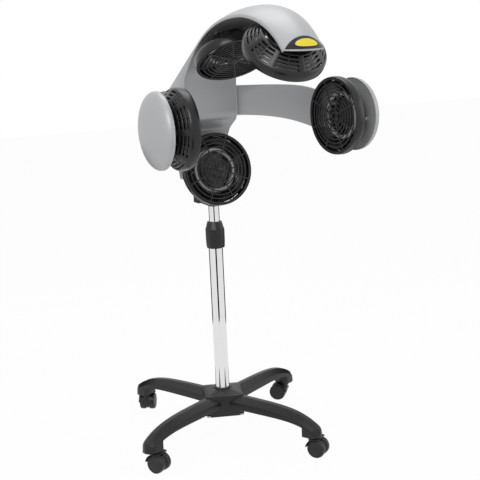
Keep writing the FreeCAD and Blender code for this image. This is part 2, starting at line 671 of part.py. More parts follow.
def tip_frame():
    """Point between the tip's corners, direction onward along the arch and direction outward."""
    y, z, outward, half = station(-S["arch_tip_angle"])
    a = math.radians(outward)
    return Vec(0, y, z), Vec(0, -math.sin(a), math.cos(a)), Vec(0, math.cos(a), math.sin(a))


def tip_cutter(reach):
    """Cutter that rounds the tip; its middle reaches past the line of the corners."""
    corner, onward, outward = tip_frame()
    half, bulge = S["tip_half_width"], S["tip_bulge"]
    radius = (half * half + bulge * bulge) / (2 * bulge)
    centre = corner + onward * (bulge - radius + reach)
    disc = cylinder(radius, 160, centre - outward * 80, outward)
    block = box(-150, 150, 0, 260, -80, 80)
    block.Placement = FreeCAD.Placement(corner + onward * (reach - 2.0), Rot(X_AXIS, onward, outward * -1))
    return block.cut(disc)


RIB_THICKNESS = 4.0
outer_body = arch_body(0.0, 0.0).cut(tip_cutter(0.0)).fuse(spine_body()).removeSplitter()
shell = outer_body.cut(cavity(S["shell_wall"]))
liner_fill = front_space(S["liner_wall"]).cut(front_space(0.0))
liner = liner_fill.common(cavity(S["shell_wall"] + S["seat_clearance"])).cut(tip_cutter(-3.0))
apron_half = S["apron_half_width"]
apron_back = S["lower_front"] + S["liner_wall"]
apron = box(-apron_half, apron_half, S["lower_front"], apron_back, S["apron_bottom"], S["spine_bottom"] + 10)
liner = liner.fuse(apron)
slot_half = apron_half + S["seat_clearance"]
apron_slot = box(-slot_half, slot_half, 0, apron_back + S["seat_clearance"], S["spine_bottom"] - 1,
                 S["spine_bottom"] + 8)


def side_opening(side):
    """Window in the spine's side wall for the arm's hinge barrel and its swing."""
    y = S["arm_pin_y"]
    x0, x1 = sorted((side * (S["arm_pin_x"] + 4), side * FAR))
    play, before, behind = 2, 21, 11
    return box(x0, x1, y - before, y + behind, S["arm_root_bottom"] - play, ARM_TOP + play)


def hinge_ribs(side):
    """Two shelves inside the spine's side wall that hold the ends of an arm's hinge pin."""
    x0, x1 = sorted((side * (S["arm_pin_x"] - 15), side * (S["spine_half_width"] - 1)))
    y = S["arm_pin_y"]
    ribs = []
    for z in (S["arm_root_bottom"] - 1 - RIB_THICKNESS, ARM_TOP + 1):
        bore = cylinder(S["arm_pin_diameter"] / 2, RIB_THICKNESS, Vec(side * S["arm_pin_x"], y, z))
        ribs.append(box(x0, x1, y - 18, y + 18, z, z + RIB_THICKNESS).cut(bore))
    return ribs


def panel_outline(grow, y0, y1):
    """Rounded rectangle of the control panel as a prism along Y."""
    half = S["panel_half_width"] + grow
    plate = box(-half, half, y0, y1, S["panel_bottom"] - grow, S["panel_top"] + grow)
    corners = [e for e in plate.Edges if abs(e.BoundBox.YLength - (y1 - y0)) < 0.01]
    return plate.makeFillet(5 + grow, corners)


PANEL_FACE = S["back_wall"] + S["panel_proud"]
PANEL_BACK = PANEL_FACE - S["panel_thickness"]
panel_window = panel_outline(S["seat_clearance"], S["back_wall"] - 10, 200)
TAB_HALF, TAB_DEPTH, TAB_REACH = 9, 8, 10
panel_tabs = []
for z, way in ((S["panel_top"], 1), (S["panel_bottom"], -1)):
    z0, z1 = sorted((z - TAB_REACH * way, z + TAB_REACH * way))
    panel_tabs.append(box(-TAB_HALF, TAB_HALF, PANEL_BACK - TAB_DEPTH, PANEL_BACK, z0, z1))
    z0, z1 = sorted((z + way, z + TAB_REACH * way))
    panel_tabs.append(box(-TAB_HALF, TAB_HALF, PANEL_BACK - TAB_DEPTH, S["back_wall"] + 20, z0, z1))
shell = shell.cut(side_opening(1)).cut(side_opening(-1)).cut(panel_window).cut(apron_slot)
shell = fused([shell] + hinge_ribs(1) + hinge_ribs(-1) + panel_tabs)
feature("spine_shell", shell)
feature("spine_liner", liner)


def tip_lens(inset):
    """Lens outline on the arch's tip, as a prism along the outward direction."""
    corner, onward, outward = tip_frame()
    half, bulge, height = (S[key] - inset for key in ("tip_half_width", "tip_bulge", "tip_lens_height"))
    start = corner - outward * 30
    edge = Part.Arc(start + X_AXIS * half, start + onward * bulge, start - X_AXIS * half).toShape()
    back = Part.Arc(start - X_AXIS * half, start - onward * height, start + X_AXIS * half).toShape()
    return Part.Face(Part.Wire([edge, back])).extrude(outward * 120)


def tip_oval():
    corner, onward, outward = tip_frame()
    centre = corner + onward * ((S["tip_bulge"] - S["tip_lens_height"]) / 2 + 1) - outward * 30
    side, top = centre + X_AXIS * S["badge_half_width"], centre + onward * S["badge_half_height"]
    oval = Part.Ellipse(side, top, centre)
    return Part.Face(Part.Wire([oval.toShape()])).extrude(outward * 120)


skin = S["tip_panel_thickness"]
panel_margin, root = 3.0, -20.0
panel_block = arch_body(0.0, 0.0, skin).common(tip_lens(panel_margin))
badge_block = arch_body(0.0, 0.0, skin + S["badge_thickness"]).common(tip_oval())
feature("tip_panel", panel_block.cut(arch_body(0.0, root)))
feature("tip_badge", badge_block.cut(arch_body(0.0, root, skin)))

# ---------------------------------------------------------------- lamps
LAMPS = {}
for name, turn in (("nape", 90 - S["nape_pitch"]), ("rear", 90 - S["rear_pitch"])):
    LAMPS[name] = FreeCAD.Placement(Vec(0, S[name + "_y"], S[name + "_z"]), Rot(X_AXIS, turn))
LAMPS["front"] = FreeCAD.Placement(Vec(0, S["front_y"], S["front_z"]), Rot(X_AXIS, S["front_pitch"] - 90))


def outline_points():
    """Rear half of a lamp housing's profile as (radius, height); the light leaves towards +Z."""
    r, depth = S["lamp_diameter"] / 2, S["lamp_depth"]
    return [(r - 3, -depth * 0.42), (r - 34, -depth * 0.9), (24, -depth)]


def housing_solid(shrink=0.0):
    """Solid of revolution within the housing's outer profile."""
    r = S["lamp_diameter"] / 2 - shrink
    bezel = r - S["bezel_lip"]
    points = [Vec(a - shrink, 0, b + shrink) for a, b in outline_points()]
    front, rear = Vec(0, 0, -shrink), Vec(0, 0, points[2].z)
    edges = [Part.Arc(Vec(bezel, 0, -shrink), Vec(r, 0, -14), points[0]),
             Part.LineSegment(points[0], points[1]),
             Part.LineSegment(points[1], points[2]), Part.LineSegment(points[2], rear),
             Part.LineSegment(rear, front), Part.LineSegment(front, Vec(bezel, 0, -shrink))]
    return Part.Face(Part.Wire([e.toShape() for e in edges])).revolve(ORIGIN, Z_AXIS, 360)


def vent_cutters():
    """Slots in pairs round the sloping rear wall, with a wide spoke between the sectors."""
    a, b = outline_points()[0], outline_points()[1]
    run = Vec(b[0] - a[0], 0, b[1] - a[1])
    along = run * (1 / run.Length)
    through = Vec(-along.z, 0, along.x)
    half, wall = S["vent_width"] / 2, 8
    sector = 360 / S["vent_sectors"]
    sweep = (sector - S["vent_spoke"] - S["vent_rib"]) / 2
    margin = 1.0
    pitch = (run.Length - 2 * margin) / S["vent_rows"]
    cutters = []
    for row in range(int(S["vent_rows"])):
        middle = Vec(a[0], 0, a[1]) + along * (margin + pitch * (row + 0.5))
        side, depth = along * half, through * wall
        corners = [middle - side - depth, middle + side - depth, middle + side + depth, middle - side + depth]
        slot = Part.Face(polygon(corners)).revolve(ORIGIN, Z_AXIS, sweep)
        for i in range(int(S["vent_sectors"])):
            start = i * sector + S["vent_spoke"] / 2
            cutters.append(turned(slot, start))
            cutters.append(turned(slot, start + sweep + S["vent_rib"]))
    return Part.Compound(cutters)


BEZEL_OPENING = S["lamp_diameter"] / 2 - 2 * S["bezel_lip"]
GRILLE_SET_BACK = 0.6
GRILLE_BACK = -GRILLE_SET_BACK - S["grille_thickness"]


def lamp_housing():
    """Ringed black housing: rounded bezel, vented sloping wall, open front with a ledge."""
    bezel_depth, ledge_height = 20, 2
    solid = housing_solid().cut(housing_solid(S["lamp_wall"]))
    solid = solid.cut(cylinder(BEZEL_OPENING, bezel_depth, Vec(0, 0, -bezel_depth)))
    base = Vec(0, 0, GRILLE_BACK - ledge_height)
    ledge = cylinder(BEZEL_OPENING + 1, ledge_height, base)
    ledge = ledge.cut(cylinder(BEZEL_OPENING - S["grille_ledge"], ledge_height, base))
    return fused([solid, ledge]).cut(vent_cutters())


def lamp_grille():
    """Domed web of rings and spokes in a flat border, standing on the housing's ledge."""
    thick, bar, hub = S["grille_thickness"], S["grille_bar"], S["grille_hub"]
    base = Vec(0, 0, GRILLE_BACK)
    outer = BEZEL_OPENING - S["seat_clearance"]
    inner = outer - S["grille_border"]
    border = cylinder(outer, thick, base).cut(cylinder(inner, thick, base))
    tall = S["grille_dome"] + 2 * thick
    pitch = (inner - hub - bar / 2) / S["grille_rings"]
    pieces = [cylinder(hub, tall, base)]
    for i in range(1, int(S["grille_rings"])):
        middle = hub + bar / 2 + pitch * i
        pieces.append(cylinder(middle + bar / 2, tall, base).cut(cylinder(middle - bar / 2, tall, base)))
    for i in range(4):
        spoke = Part.makeBox(2 * inner + 2, bar, tall, Vec(-inner - 1, -bar / 2, base.z))
        pieces.append(turned(spoke, 45 * i + 22.5))
    ball = (inner * inner + S["grille_dome"] ** 2) / (2 * S["grille_dome"])
    centre = Vec(0, 0, GRILLE_BACK + S["grille_dome"] - ball)
    skin = Part.makeSphere(ball + thick, centre).cut(Part.makeSphere(ball, centre))
    return fused([border, fused(pieces).common(skin)])


def lamp_element():
    """Quartz ring tube with two end caps and three ceramic clips that stand on the rear wall."""
    big, small = S["element_radius"], S["element_tube"] / 2
    z = -S["lamp_depth"] * 0.48
    gap = 16.0
    ring = Part.makeTorus(big, small, ORIGIN, Z_AXIS, -180, 180, 360 - gap)
    ring.rotate(ORIGIN, Z_AXIS, gap / 2)
    ring.translate(Vec(0, 0, z))
    caps = []
    for side in (1, -1):
        angle = math.radians(side * gap / 2)
        direction = Vec(math.sin(angle) * side, -math.cos(angle) * side, 0)
        base = Vec(big * math.cos(angle), big * math.sin(angle), z)
        caps.append(cylinder(small + 0.8, 6, base, direction))
    clips = []
    for i in range(3):
        angle = math.radians(60 + 120 * i)
        foot = Vec(big * math.cos(angle), big * math.sin(angle), z - S["lamp_depth"])
        clips.append(cylinder(5, S["lamp_depth"], foot))
    floor = housing_solid(S["lamp_wall"])
    clips = [clip.common(floor).cut(Part.makeTorus(big, small, Vec(0, 0, z), Z_AXIS)) for clip in clips]
    return group([ring] + caps + clips)


housing_shape, grille_shape, element_shape = lamp_housing(), lamp_grille(), lamp_element()
lamp_envelope = housing_solid()
for name in ("nape", "rear", "front"):
    feature(name + "_lamp_housing", housing_shape.copy(), LAMPS[name])
    feature(name + "_lamp_grille", grille_shape.copy(), LAMPS[name])
    feature(name + "_lamp_element", element_shape.copy(), LAMPS[name])


def posts(start_angle, length, radius):
    """Three stand-off posts behind a lamp, in the lamp's own frame."""
    pieces = []
    for i in range(3):
        angle = math.radians(start_angle + 120 * i)
        base = Vec(radius * math.cos(angle), radius * math.sin(angle), -S["lamp_depth"] - length)
        pieces.append(cylinder(S["post_diameter"] / 2, length + 30, base))
    return pieces


liner_front = front_space(0.0)
spine_posts = []
for name, first_post in (("nape", 90.0), ("rear", -90.0), ("front", -90.0)):
    place = LAMPS[name]
    envelope = lamp_envelope.copy()
    envelope.Placement = place
    for post in posts(first_post, 70.0, S["post_radius"]):
        post.Placement = place.multiply(post.Placement)
        piece = post.common(liner_front).cut(envelope)
        spine_posts += [s for s in piece.Solids if s.Volume > 50]
feature("lamp_posts", group(spine_posts))

# ---------------------------------------------------------------- arms and side discs
# The side lamps, their discs and the discs' pins share one frame: the lamp's own.
disc_face = S["lamp_depth"] + S["disc_gap"]
disc_pin_depth = disc_face - S["disc_pin_offset"]
disc_pin_reach = S["disc_radius"] + S["disc_knuckle"] / 2 + 1.5
disc_pin_x = S["side_x"] + disc_pin_depth
disc_pin_y = S["side_y"] + disc_pin_reach
knuckle_half = S["disc_knuckle_height"] / 2
knuckle_end = knuckle_half + 0.5 + S["fork_knuckle_height"]


def side_placement(side, toe):
    """Frame of a side lamp, turned with its disc about the disc's pin."""
    face = FreeCAD.Placement(Vec(side * S["side_x"], S["side_y"], S["side_z"]), Rot(Y_AXIS, -90 * side))
    pin = Vec(side * disc_pin_x, disc_pin_y, 0)
    return FreeCAD.Placement(ORIGIN, Rot(Z_AXIS, toe), pin).multiply(face)


LAMPS["right"] = side_placement(1, S["right_toe"])
LAMPS["left"] = side_placement(-1, S["left_toe"])


def disc_profile(inset):
    """Dome of a disc from its rim to its crown, as a solid of revolution."""
    r, rise = S["disc_radius"] - inset, S["disc_rise"] - inset
    start = -disc_face + 2 + (5 if inset else 0)
    low = -disc_face - 2
    points = [Vec(r * math.cos(math.radians(a)), 0, low - rise * math.sin(math.radians(a)))
              for a in range(0, 91, 10)]
    dome = Part.BSplineCurve()
    dome.interpolate(points)
    edges = [Part.LineSegment(Vec(0, 0, start), Vec(r, 0, start)).toShape(),
             Part.LineSegment(Vec(r, 0, start), Vec(r, 0, low)).toShape(), dome.toShape(),
             Part.LineSegment(points[-1], Vec(0, 0, start)).toShape()]
    return Part.Face(Part.Wire(edges)).revolve(ORIGIN, Z_AXIS, 360)


def side_disc():
    """Silver domed disc behind a side lamp, with the knuckle of its hinge."""
    dome = disc_profile(0.0).cut(disc_profile(S["disc_wall"]))
    y, z = disc_pin_reach, -disc_pin_depth
    knuckle = cylinder(S["disc_knuckle"] / 2, 2 * knuckle_half, Vec(-knuckle_half, y, z), X_AXIS)
    web = box(-knuckle_half, knuckle_half, S["disc_radius"] * 0.8, y, -disc_face - 4, z + 2)
    web = web.cut(cylinder(S["disc_radius"] - S["disc_wall"], 100, Vec(0, 0, -disc_face - 50)))
    body = fused([dome, knuckle, web])
    bore = cylinder(S["disc_pin_diameter"] / 2 + S["running_clearance"], 200, Vec(-100, y, z), X_AXIS)
    return body.cut(bore)


def disc_plate():
    radius = S["disc_radius"] - S["disc_wall"] - S["seat_clearance"]
    return cylinder(radius, S["disc_plate_thickness"], Vec(0, 0, -disc_face - S["disc_plate_thickness"]))


def arm_section(x, y, heading, low, high):
    """Upright section of the arm band: flat inner face, bulging outer face."""
    half = S["arm_thickness"] / 2
    a = math.radians(heading)
    outward = Vec(-math.sin(a), math.cos(a), 0)
    centre = Vec(x, y, 0)
    inner, outer, middle = centre - outward * half, centre + outward * (half - 3), centre + outward * half
    corners = [inner + Z_AXIS * low, inner + Z_AXIS * high, outer + Z_AXIS * high, outer + Z_AXIS * low]
    edges = [Part.LineSegment(corners[0], corners[1]), Part.LineSegment(corners[1], corners[2]),
             Part.Arc(corners[2], middle + Z_AXIS * ((low + high) / 2), corners[3]),
             Part.LineSegment(corners[3], corners[0])]
    return Part.Wire([e.toShape() for e in edges])


def arm():
    """Right arm: hinge barrel, band that bows outward and deepens, and two fork knuckles."""
    start = Vec(S["arm_pin_x"], S["arm_pin_y"], 0)
    end = Vec(disc_pin_x, disc_pin_y, 0)
    chord = end - start
    bow = S["arm_bow"]
    radius = (chord.Length ** 2 / 4 + bow ** 2) / (2 * bow)
    spread = math.degrees(math.asin(chord.Length / 2 / radius))
    lean = math.degrees(math.atan2(chord.y, chord.x))
    along = chord * (1 / chord.Length)
    centre = (start + end) * 0.5 - Vec(-along.y, along.x, 0) * (radius - bow)
    band_start, band_end = 0.02, 1 - (S["disc_knuckle"] / 2 + 3) / chord.Length
    top_curve, lower_curve = 6, 2.6
    steps = 8
    sections = []
    for i in range(steps + 1):
        share = band_start + (band_end - band_start) * i / steps
        heading = lean + spread - 2 * spread * share
        a = math.radians(heading + 90)
        x, y = centre.x + radius * math.cos(a), centre.y + radius * math.sin(a)
        low = S["arm_root_bottom"] - S["arm_end_flare"] * share ** lower_curve
        high = ARM_TOP - S["arm_end_drop"] * share ** top_curve
        sections.append(arm_section(x, y, heading, low, high))
    band = Part.makeLoft(sections, True, False)
    barrel = cylinder(S["arm_barrel"] / 2, S["arm_height"], start + Z_AXIS * S["arm_root_bottom"])
    body = band
    width = S["disc_knuckle"] / 2 + 6
    for z in (S["side_z"] + knuckle_half + 0.5, S["side_z"] - knuckle_end):
        body = body.fuse(cylinder(S["disc_knuckle"] / 2, S["fork_knuckle_height"], end + Z_AXIS * z))
        tie = box(-width, 0, -4, 4, z, z + S["fork_knuckle_height"])
        tie.Placement = FreeCAD.Placement(end, Rot(Z_AXIS, lean - spread))
        body = body.fuse(tie)
    body = body.fuse(barrel)
    body = body.cut(cylinder(S["arm_pin_diameter"] / 2 + S["running_clearance"], 300, start + Z_AXIS * 800))
    return body.cut(cylinder(S["disc_pin_diameter"] / 2, 300, end + Z_AXIS * 800))


def arm_pin(side):
    low, high = S["arm_root_bottom"] - 1 - RIB_THICKNESS, ARM_TOP + 1 + RIB_THICKNESS
    return cylinder(S["arm_pin_diameter"] / 2, high - low, Vec(side * S["arm_pin_x"], S["arm_pin_y"], low))


def disc_pin(side):
    return cylinder(S["disc_pin_diameter"] / 2, 2 * knuckle_end,
                    Vec(side * disc_pin_x, disc_pin_y, S["side_z"] - knuckle_end))


arm_shape, disc_shape, plate_shape = arm(), side_disc(), disc_plate()
side_posts = []
for post in posts(S["side_post_angle"], S["disc_gap"], S["side_post_radius"]):
    side_posts.append(post.cut(lamp_envelope))
feature("arm_pins", group([arm_pin(1), arm_pin(-1)]))
feature("right_arm", arm_shape)
feature("left_arm", mirrored(arm_shape))
for name, side in (("right", 1), ("left", -1)):
    place = LAMPS[name]
    feature(name + "_disc_pin", disc_pin(side))
    feature(name + "_disc", disc_shape.copy(), place)
    feature(name + "_disc_plate", plate_shape.copy(), place)
    feature(name + "_lamp_posts", group([p.copy() for p in side_posts]), place)
    feature(name + "_lamp_housing", housing_shape.copy(), place)
    feature(name + "_lamp_grille", grille_shape.copy(), place)
    feature(name + "_lamp_element", element_shape.copy(), place)

# ---------------------------------------------------------------- controls on the back
KNOB_Z, ROCKER_Z, INLET_Z = S["panel_top"] - 42, S["panel_top"] - 94, S["panel_bottom"] + 30
SHAFT = 3.0
ROCKER_TILT = 3.0


def control_panel():
    """Moulded panel with a rim, openings for the controls and two screw bosses."""
    half, wall = S["panel_half_width"], S["panel_wall"]
    plate = panel_outline(0.0, PANEL_BACK, PANEL_FACE)
    plate = plate.cut(box(wall - half, half - wall, PANEL_BACK, PANEL_FACE - wall, S["panel_bottom"] + wall,
                          S["panel_top"] - wall))
    bosses = [box(-7, 7, PANEL_BACK, PANEL_FACE - wall, S["panel_top"] - 10, S["panel_top"] - 1),
              box(-7, 7, PANEL_BACK, PANEL_FACE - wall, S["panel_bottom"] + 1, S["panel_bottom"] + 10)]
    plate = fused([plate] + bosses)
    plate = plate.cut(cylinder(SHAFT + 0.4, 40, Vec(0, PANEL_FACE - 20, KNOB_Z), Y_AXIS))
    plate = plate.cut(box(-10.5, 10.5, 0, FAR, ROCKER_Z - 7.5, ROCKER_Z + 7.5))
    return plate.cut(box(-14, 14, 0, FAR, INLET_Z - 10, INLET_Z + 10))


def timer_unit():
    face = PANEL_FACE - S["panel_wall"]
    body = box(-25, 25, face - 34, face, KNOB_Z - 25, KNOB_Z + 25)
    return body.cut(cylinder(SHAFT + S["running_clearance"], 24, Vec(0, face - 24, KNOB_Z), Y_AXIS))


def timer_knob():
    """Skirted knob with a grip bar and its shaft into the timer."""
    r, high = S["knob_diameter"] / 2, S["knob_height"]
    start = PANEL_FACE + 0.5
    skirt = cylinder(r, 4, Vec(0, start, KNOB_Z), Y_AXIS)
    drum = Part.makeCone(r - 4, r - 7, high - 4, Vec(0, start + 4, KNOB_Z), Y_AXIS)
    shaft = cylinder(SHAFT, 24, Vec(0, start - 20, KNOB_Z), Y_AXIS)
    mark = box(-1, 1, start + high - 0.8, start + high + 2, KNOB_Z, KNOB_Z + r)
    return fused([skirt, drum, shaft]).cut(mark)


def power_rocker():
    """Two-position rocker in the panel, at rest pressed on its upper half."""
    y = PANEL_FACE - 5
    points = [(y, -6.4), (y + 7.4, -6.8), (y + 6.2, 0), (y + 7.4, 6.8), (y, 6.4)]
    shape = Part.Face(polygon([Vec(-9.5, a, b) for a, b in points])).extrude(Vec(19, 0, 0))
    pivot = cylinder(1.5, 20.4, Vec(-10.2, y, 0), X_AXIS)
    shape = fused([shape, pivot])
    shape.translate(Vec(0, 0, ROCKER_Z))
    shape.rotate(Vec(0, y, ROCKER_Z), X_AXIS, ROCKER_TILT)
    return shape


def power_inlet():
    """Appliance inlet: shroud with three flat pins."""
    face = PANEL_FACE
    shroud = box(-14, 14, face - 22, face, INLET_Z - 10, INLET_Z + 10)
    shroud = shroud.cut(box(-12, 12, face - 18, face + 5, INLET_Z - 8, INLET_Z + 8))
    pins = []
    for x, z in ((-7, -2), (7, -2), (0, 2)):
        pins.append(box(x - 1, x + 1, face - 18, face - 3, INLET_Z + z - 2, INLET_Z + z + 2))
    return group([shroud] + pins)


feature("control_panel", control_panel())
feature("timer_unit", timer_unit())
feature("timer_knob", timer_knob())
feature("power_rocker", power_rocker())
feature("power_inlet", power_inlet())

doc.recompute()
for obj in doc.Objects:
    if "Invalid" in obj.State or "Error" in obj.State:
        raise RuntimeError("%s did not build" % obj.Name)
for obj in sub_parts:
    if obj.Shape.isNull() or not obj.Shape.isValid() or not obj.Shape.Solids:
        raise RuntimeError("%s has no valid solid" % obj.Label)
os.makedirs("parts", exist_ok=True)
for obj in sub_parts:
    obj.Shape.exportStep("parts/%s.step" % obj.Label)
    print(obj.Label, len(obj.Shape.Solids), round(obj.Shape.Volume))
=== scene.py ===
# %% [markdown]
# # A salon hair color processor
# The object is a stand on four twin-wheel casters, a chromed telescopic pole, and a silver arch
# that carries five ringed lamps: one behind the nape, two under the arch and two on swinging arms.
# The solids of the frame give every place and size. This file dresses them with finer meshes and
# procedural finishes. All sizes are written in millimetres, as on a workshop drawing.

# %% Load the frame and keep its box
import bpy
import bmesh
from math import asin, atan2, cos, degrees, hypot, pi, radians, sin, sqrt
from mathutils import Matrix, Vector


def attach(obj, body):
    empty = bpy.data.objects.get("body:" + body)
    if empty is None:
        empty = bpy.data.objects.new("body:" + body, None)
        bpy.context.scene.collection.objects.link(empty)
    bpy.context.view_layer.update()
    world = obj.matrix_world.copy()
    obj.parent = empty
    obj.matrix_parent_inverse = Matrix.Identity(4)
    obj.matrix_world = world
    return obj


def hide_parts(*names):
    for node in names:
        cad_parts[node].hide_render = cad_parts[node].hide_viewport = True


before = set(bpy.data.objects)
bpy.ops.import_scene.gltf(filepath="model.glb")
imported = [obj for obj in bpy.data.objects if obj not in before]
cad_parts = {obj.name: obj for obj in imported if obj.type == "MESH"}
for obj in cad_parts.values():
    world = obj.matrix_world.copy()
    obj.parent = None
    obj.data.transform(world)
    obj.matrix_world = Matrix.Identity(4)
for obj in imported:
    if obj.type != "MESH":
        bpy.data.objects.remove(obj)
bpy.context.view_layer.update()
MM = 0.001
print("nodes in the frame:", len(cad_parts))

# %% [markdown]
# ## Tools of the bench
# Every piece starts as a list of points and faces. A lathe turns a profile about an axis, a loft
# joins one section to the next, and a corner can be softened by a short curve. Writing these few
# helpers once keeps each later cell down to the numbers of its own piece.

# %% Objects and places
WELD, HERE = 0.002, Matrix.Identity(4)


def linked(name, data):
    """A new object in the scene that shows the data."""
    piece = bpy.data.objects.new(name, data)
    bpy.context.scene.collection.objects.link(piece)
    return piece


def piece_from(name, points, faces, place=HERE):
    """A mesh object from millimetre points, with its place baked into the mesh."""
    mesh = bpy.data.meshes.new(name)
    mesh.from_pydata([(place @ Vector(p)) * MM for p in points], [], faces)
    return linked(name, mesh)


def moved(piece, place):
    """Moves the mesh by a place that is written in millimetres."""
    piece.data.transform(Matrix.Scale(MM, 4) @ place @ Matrix.Scale(1 / MM, 4))
    return piece


def turned_by(angle, axis):
    return Matrix.Rotation(radians(angle), 4, axis)


def tidy_faces(piece):
    """Merges doubled points and turns every face outwards."""
    shape = bmesh.new()
    shape.from_mesh(piece.data)
    bmesh.ops.remove_doubles(shape, verts=shape.verts, dist=WELD * MM)
    bmesh.ops.recalc_face_normals(shape, faces=shape.faces)
    shape.to_mesh(piece.data)
    shape.free()
    return piece


def joined(name, parts, finishes=()):
    """One object from several meshes, which are used up; finishes lists their materials."""
    shape = bmesh.new()
    for part in parts:
        first = len(shape.faces)
        shape.from_mesh(part.data)
        shape.faces.ensure_lookup_table()
        for face in shape.faces[first:] if finishes else ():
            face.material_index = finishes.index(part.data.materials[0])
        bpy.data.objects.remove(part)
    mesh = bpy.data.meshes.new(name)
    shape.to_mesh(mesh)
    shape.free()
    for finish in finishes:
        mesh.materials.append(finish)
    return linked(name, mesh)


# %% Lathe, loft and softened corners
FULL_TURN, CORNER_SHARE = 360.0, 0.48


def lathe(profile, steps=96, closed=True, start=0.0, sweep=FULL_TURN):
    """Points and faces of a (radius, height) profile turned about Z."""
    full = sweep == FULL_TURN
    columns = steps if full else steps + 1
    points, rings = [], []
    for radius, height in profile:
        ring = []
        for i in range(columns):
            if radius == 0 and i:
                ring.append(ring[0])
                continue
            angle = radians(start + sweep * i / steps)
            points.append((radius * cos(angle), radius * sin(angle), height))
            ring.append(len(points) - 1)
        rings.append(ring)
    faces = []
    for r in range(len(rings) if closed else len(rings) - 1):
        lower, upper = rings[r], rings[(r + 1) % len(rings)]
        for i in range(steps):
            j = (i + 1) % columns
            corners = list(dict.fromkeys((lower[i], lower[j], upper[j], upper[i])))
            if len(corners) > 2:
                faces.append(corners)
    if closed and not full:
        faces.append([ring[0] for ring in rings])
        faces.append([ring[-1] for ring in reversed(rings)])
    return points, faces


def loft(sections, closed=True, caps=True):
    """Points and faces that join equal-length sections, one after another."""
    count = len(sections[0])
    points = [p for section in sections for p in section]
    faces = []
    for s in range(len(sections) - 1):
        for i in range(count if closed else count - 1):
            j = (i + 1) % count
            faces.append([s * count + i, s * count + j, (s + 1) * count + j, (s + 1) * count + i])
    if closed and caps:
        faces.append(list(range(count)))
        faces.append([(len(sections) - 1) * count + i for i in reversed(range(count))])
    return points, faces


def softened(points, radius, corners, segments=4):
    """The same line with the named corners replaced by short curves."""
    result = []
    for i, point in enumerate(points):
        here = Vector(point)
        if i not in corners:
            result.append(here)
            continue
        before, after = Vector(points[i - 1]) - here, Vector(points[(i + 1) % len(points)]) - here
        first = here + before.normalized() * min(radius, before.length * CORNER_SHARE)
        last = here + after.normalized() * min(radius, after.length * CORNER_SHARE)
        for k in range(segments + 1):
            t = k / segments
            result.append(first * (1 - t) ** 2 + here * 2 * t * (1 - t) + last * t ** 2)
    return result


def turned(name, profile, steps=96, place=HERE):
    """A piece from an open profile turned about Z."""
    return piece_from(name, *lathe(profile, steps, closed=False), place=place)


def boxed(name, x0, x1, y0, y1, z0, z1, round_by=1.0, place=HERE):
    """A small box with broken edges."""
    sections = []
    for z, inset in ((z0, round_by), (z0 + round_by, 0), (z1 - round_by, 0), (z1, round_by)):
        ring = [(x0 + inset, y0 + inset, z), (x1 - inset, y0 + inset, z),
                (x1 - inset, y1 - inset, z), (x0 + inset, y1 - inset, z)]
        sections.append(softened(ring, round_by, range(4), 2))
    return tidy_faces(piece_from(name, *loft(sections), place=place))


# %% Finishing a piece
def shaded(mesh, sharp_above=30.0):
    """Smooth shading with the true edges kept."""
    mesh.shade_smooth()
    mesh.set_sharp_from_angle(angle=radians(sharp_above))


def made_plain(piece, sharp_above=38.0):
    """Applies the modifiers and shades the mesh."""
    graph = bpy.context.evaluated_depsgraph_get()
    mesh = bpy.data.meshes.new_from_object(piece.evaluated_get(graph), depsgraph=graph)
    piece.modifiers.clear()
    piece.data = mesh
    shaded(mesh, sharp_above)
    return piece


def broken_edges(piece, width, angle, segments=2):
    bevel = piece.modifiers.new("broken edges", "BEVEL")
    bevel.width = width * MM
    bevel.segments = segments
    bevel.limit_method = "ANGLE"
    bevel.angle_limit = radians(angle)
    bevel.miter_outer = "MITER_ARC"
    return piece


def walled(piece, thickness):
    wall = piece.modifiers.new("wall", "SOLIDIFY")
    wall.thickness = thickness * MM
    wall.offset = -1.0
    wall.use_even_offset = True


def finished(piece, finish, body, slot, *nodes):
    """Gives the piece its finish, its body and the nodes it stands for; the record slot is not used."""
    if finish is not None:
        piece.data.materials.clear()
        piece.data.materials.append(finish)
    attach(piece, body)
    if nodes:
        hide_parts(*nodes)


def finer_copy(node, bevel_width):
    """A CAD node's own shape, welded, with its sharp edges broken."""
    weld, flat, sharp = 0.005, 1.0, 35.0
    piece = linked(node + "_dressed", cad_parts[node].data.copy())
    shape = bmesh.new()
    shape.from_mesh(piece.data)
    bmesh.ops.remove_doubles(shape, verts=shape.verts, dist=weld * MM)
    bmesh.ops.dissolve_limit(shape, angle_limit=radians(flat), verts=shape.verts, edges=shape.edges)
    shape.to_mesh(piece.data)
    shape.free()
    return made_plain(broken_edges(piece, bevel_width, sharp), 30.0)


print("bench tools ready")

# %% [markdown]
# ## Finishes
# Moulded plastic is never quite even: it has a fine grain, its gloss wanders a little, its edges
# are rubbed and dust settles on what faces up. Each of these effects is a shader node group with
# named sockets, built once. A finish then places the groups beside its own Principled shader, and
# sets its remaining constant values, such as Metallic and Coat, on that shader's own sockets.

# %% Small node-wiring helpers
FLOAT, COLOR, VECTOR, INT = ("NodeSocket" + kind for kind in ("Float", "Color", "Vector", "Int"))


def add_node(tree, kind, label="", sockets=None, **settings):
    """A node with its label, the values of its sockets and its other settings."""
    node = tree.nodes.new(kind)
    node.label = label
    for key, value in settings.items():
        setattr(node, key, value)
    return set_sockets(node, **(sockets or {}))


def set_sockets(node, **values):
    for key, value in values.items():
        node.inputs[key.replace("_", " ")].default_value = value
    return node


def wire(tree, *links):
    """Joins nodes; each link is a node, its output, the next node and its input."""
    for source, given, target, taken in links:
        tree.links.new(source.outputs[given], target.inputs[taken])


def math_nodes(tree, *operations):
    return [add_node(tree, "ShaderNodeMath", operation=operation) for operation in operations]


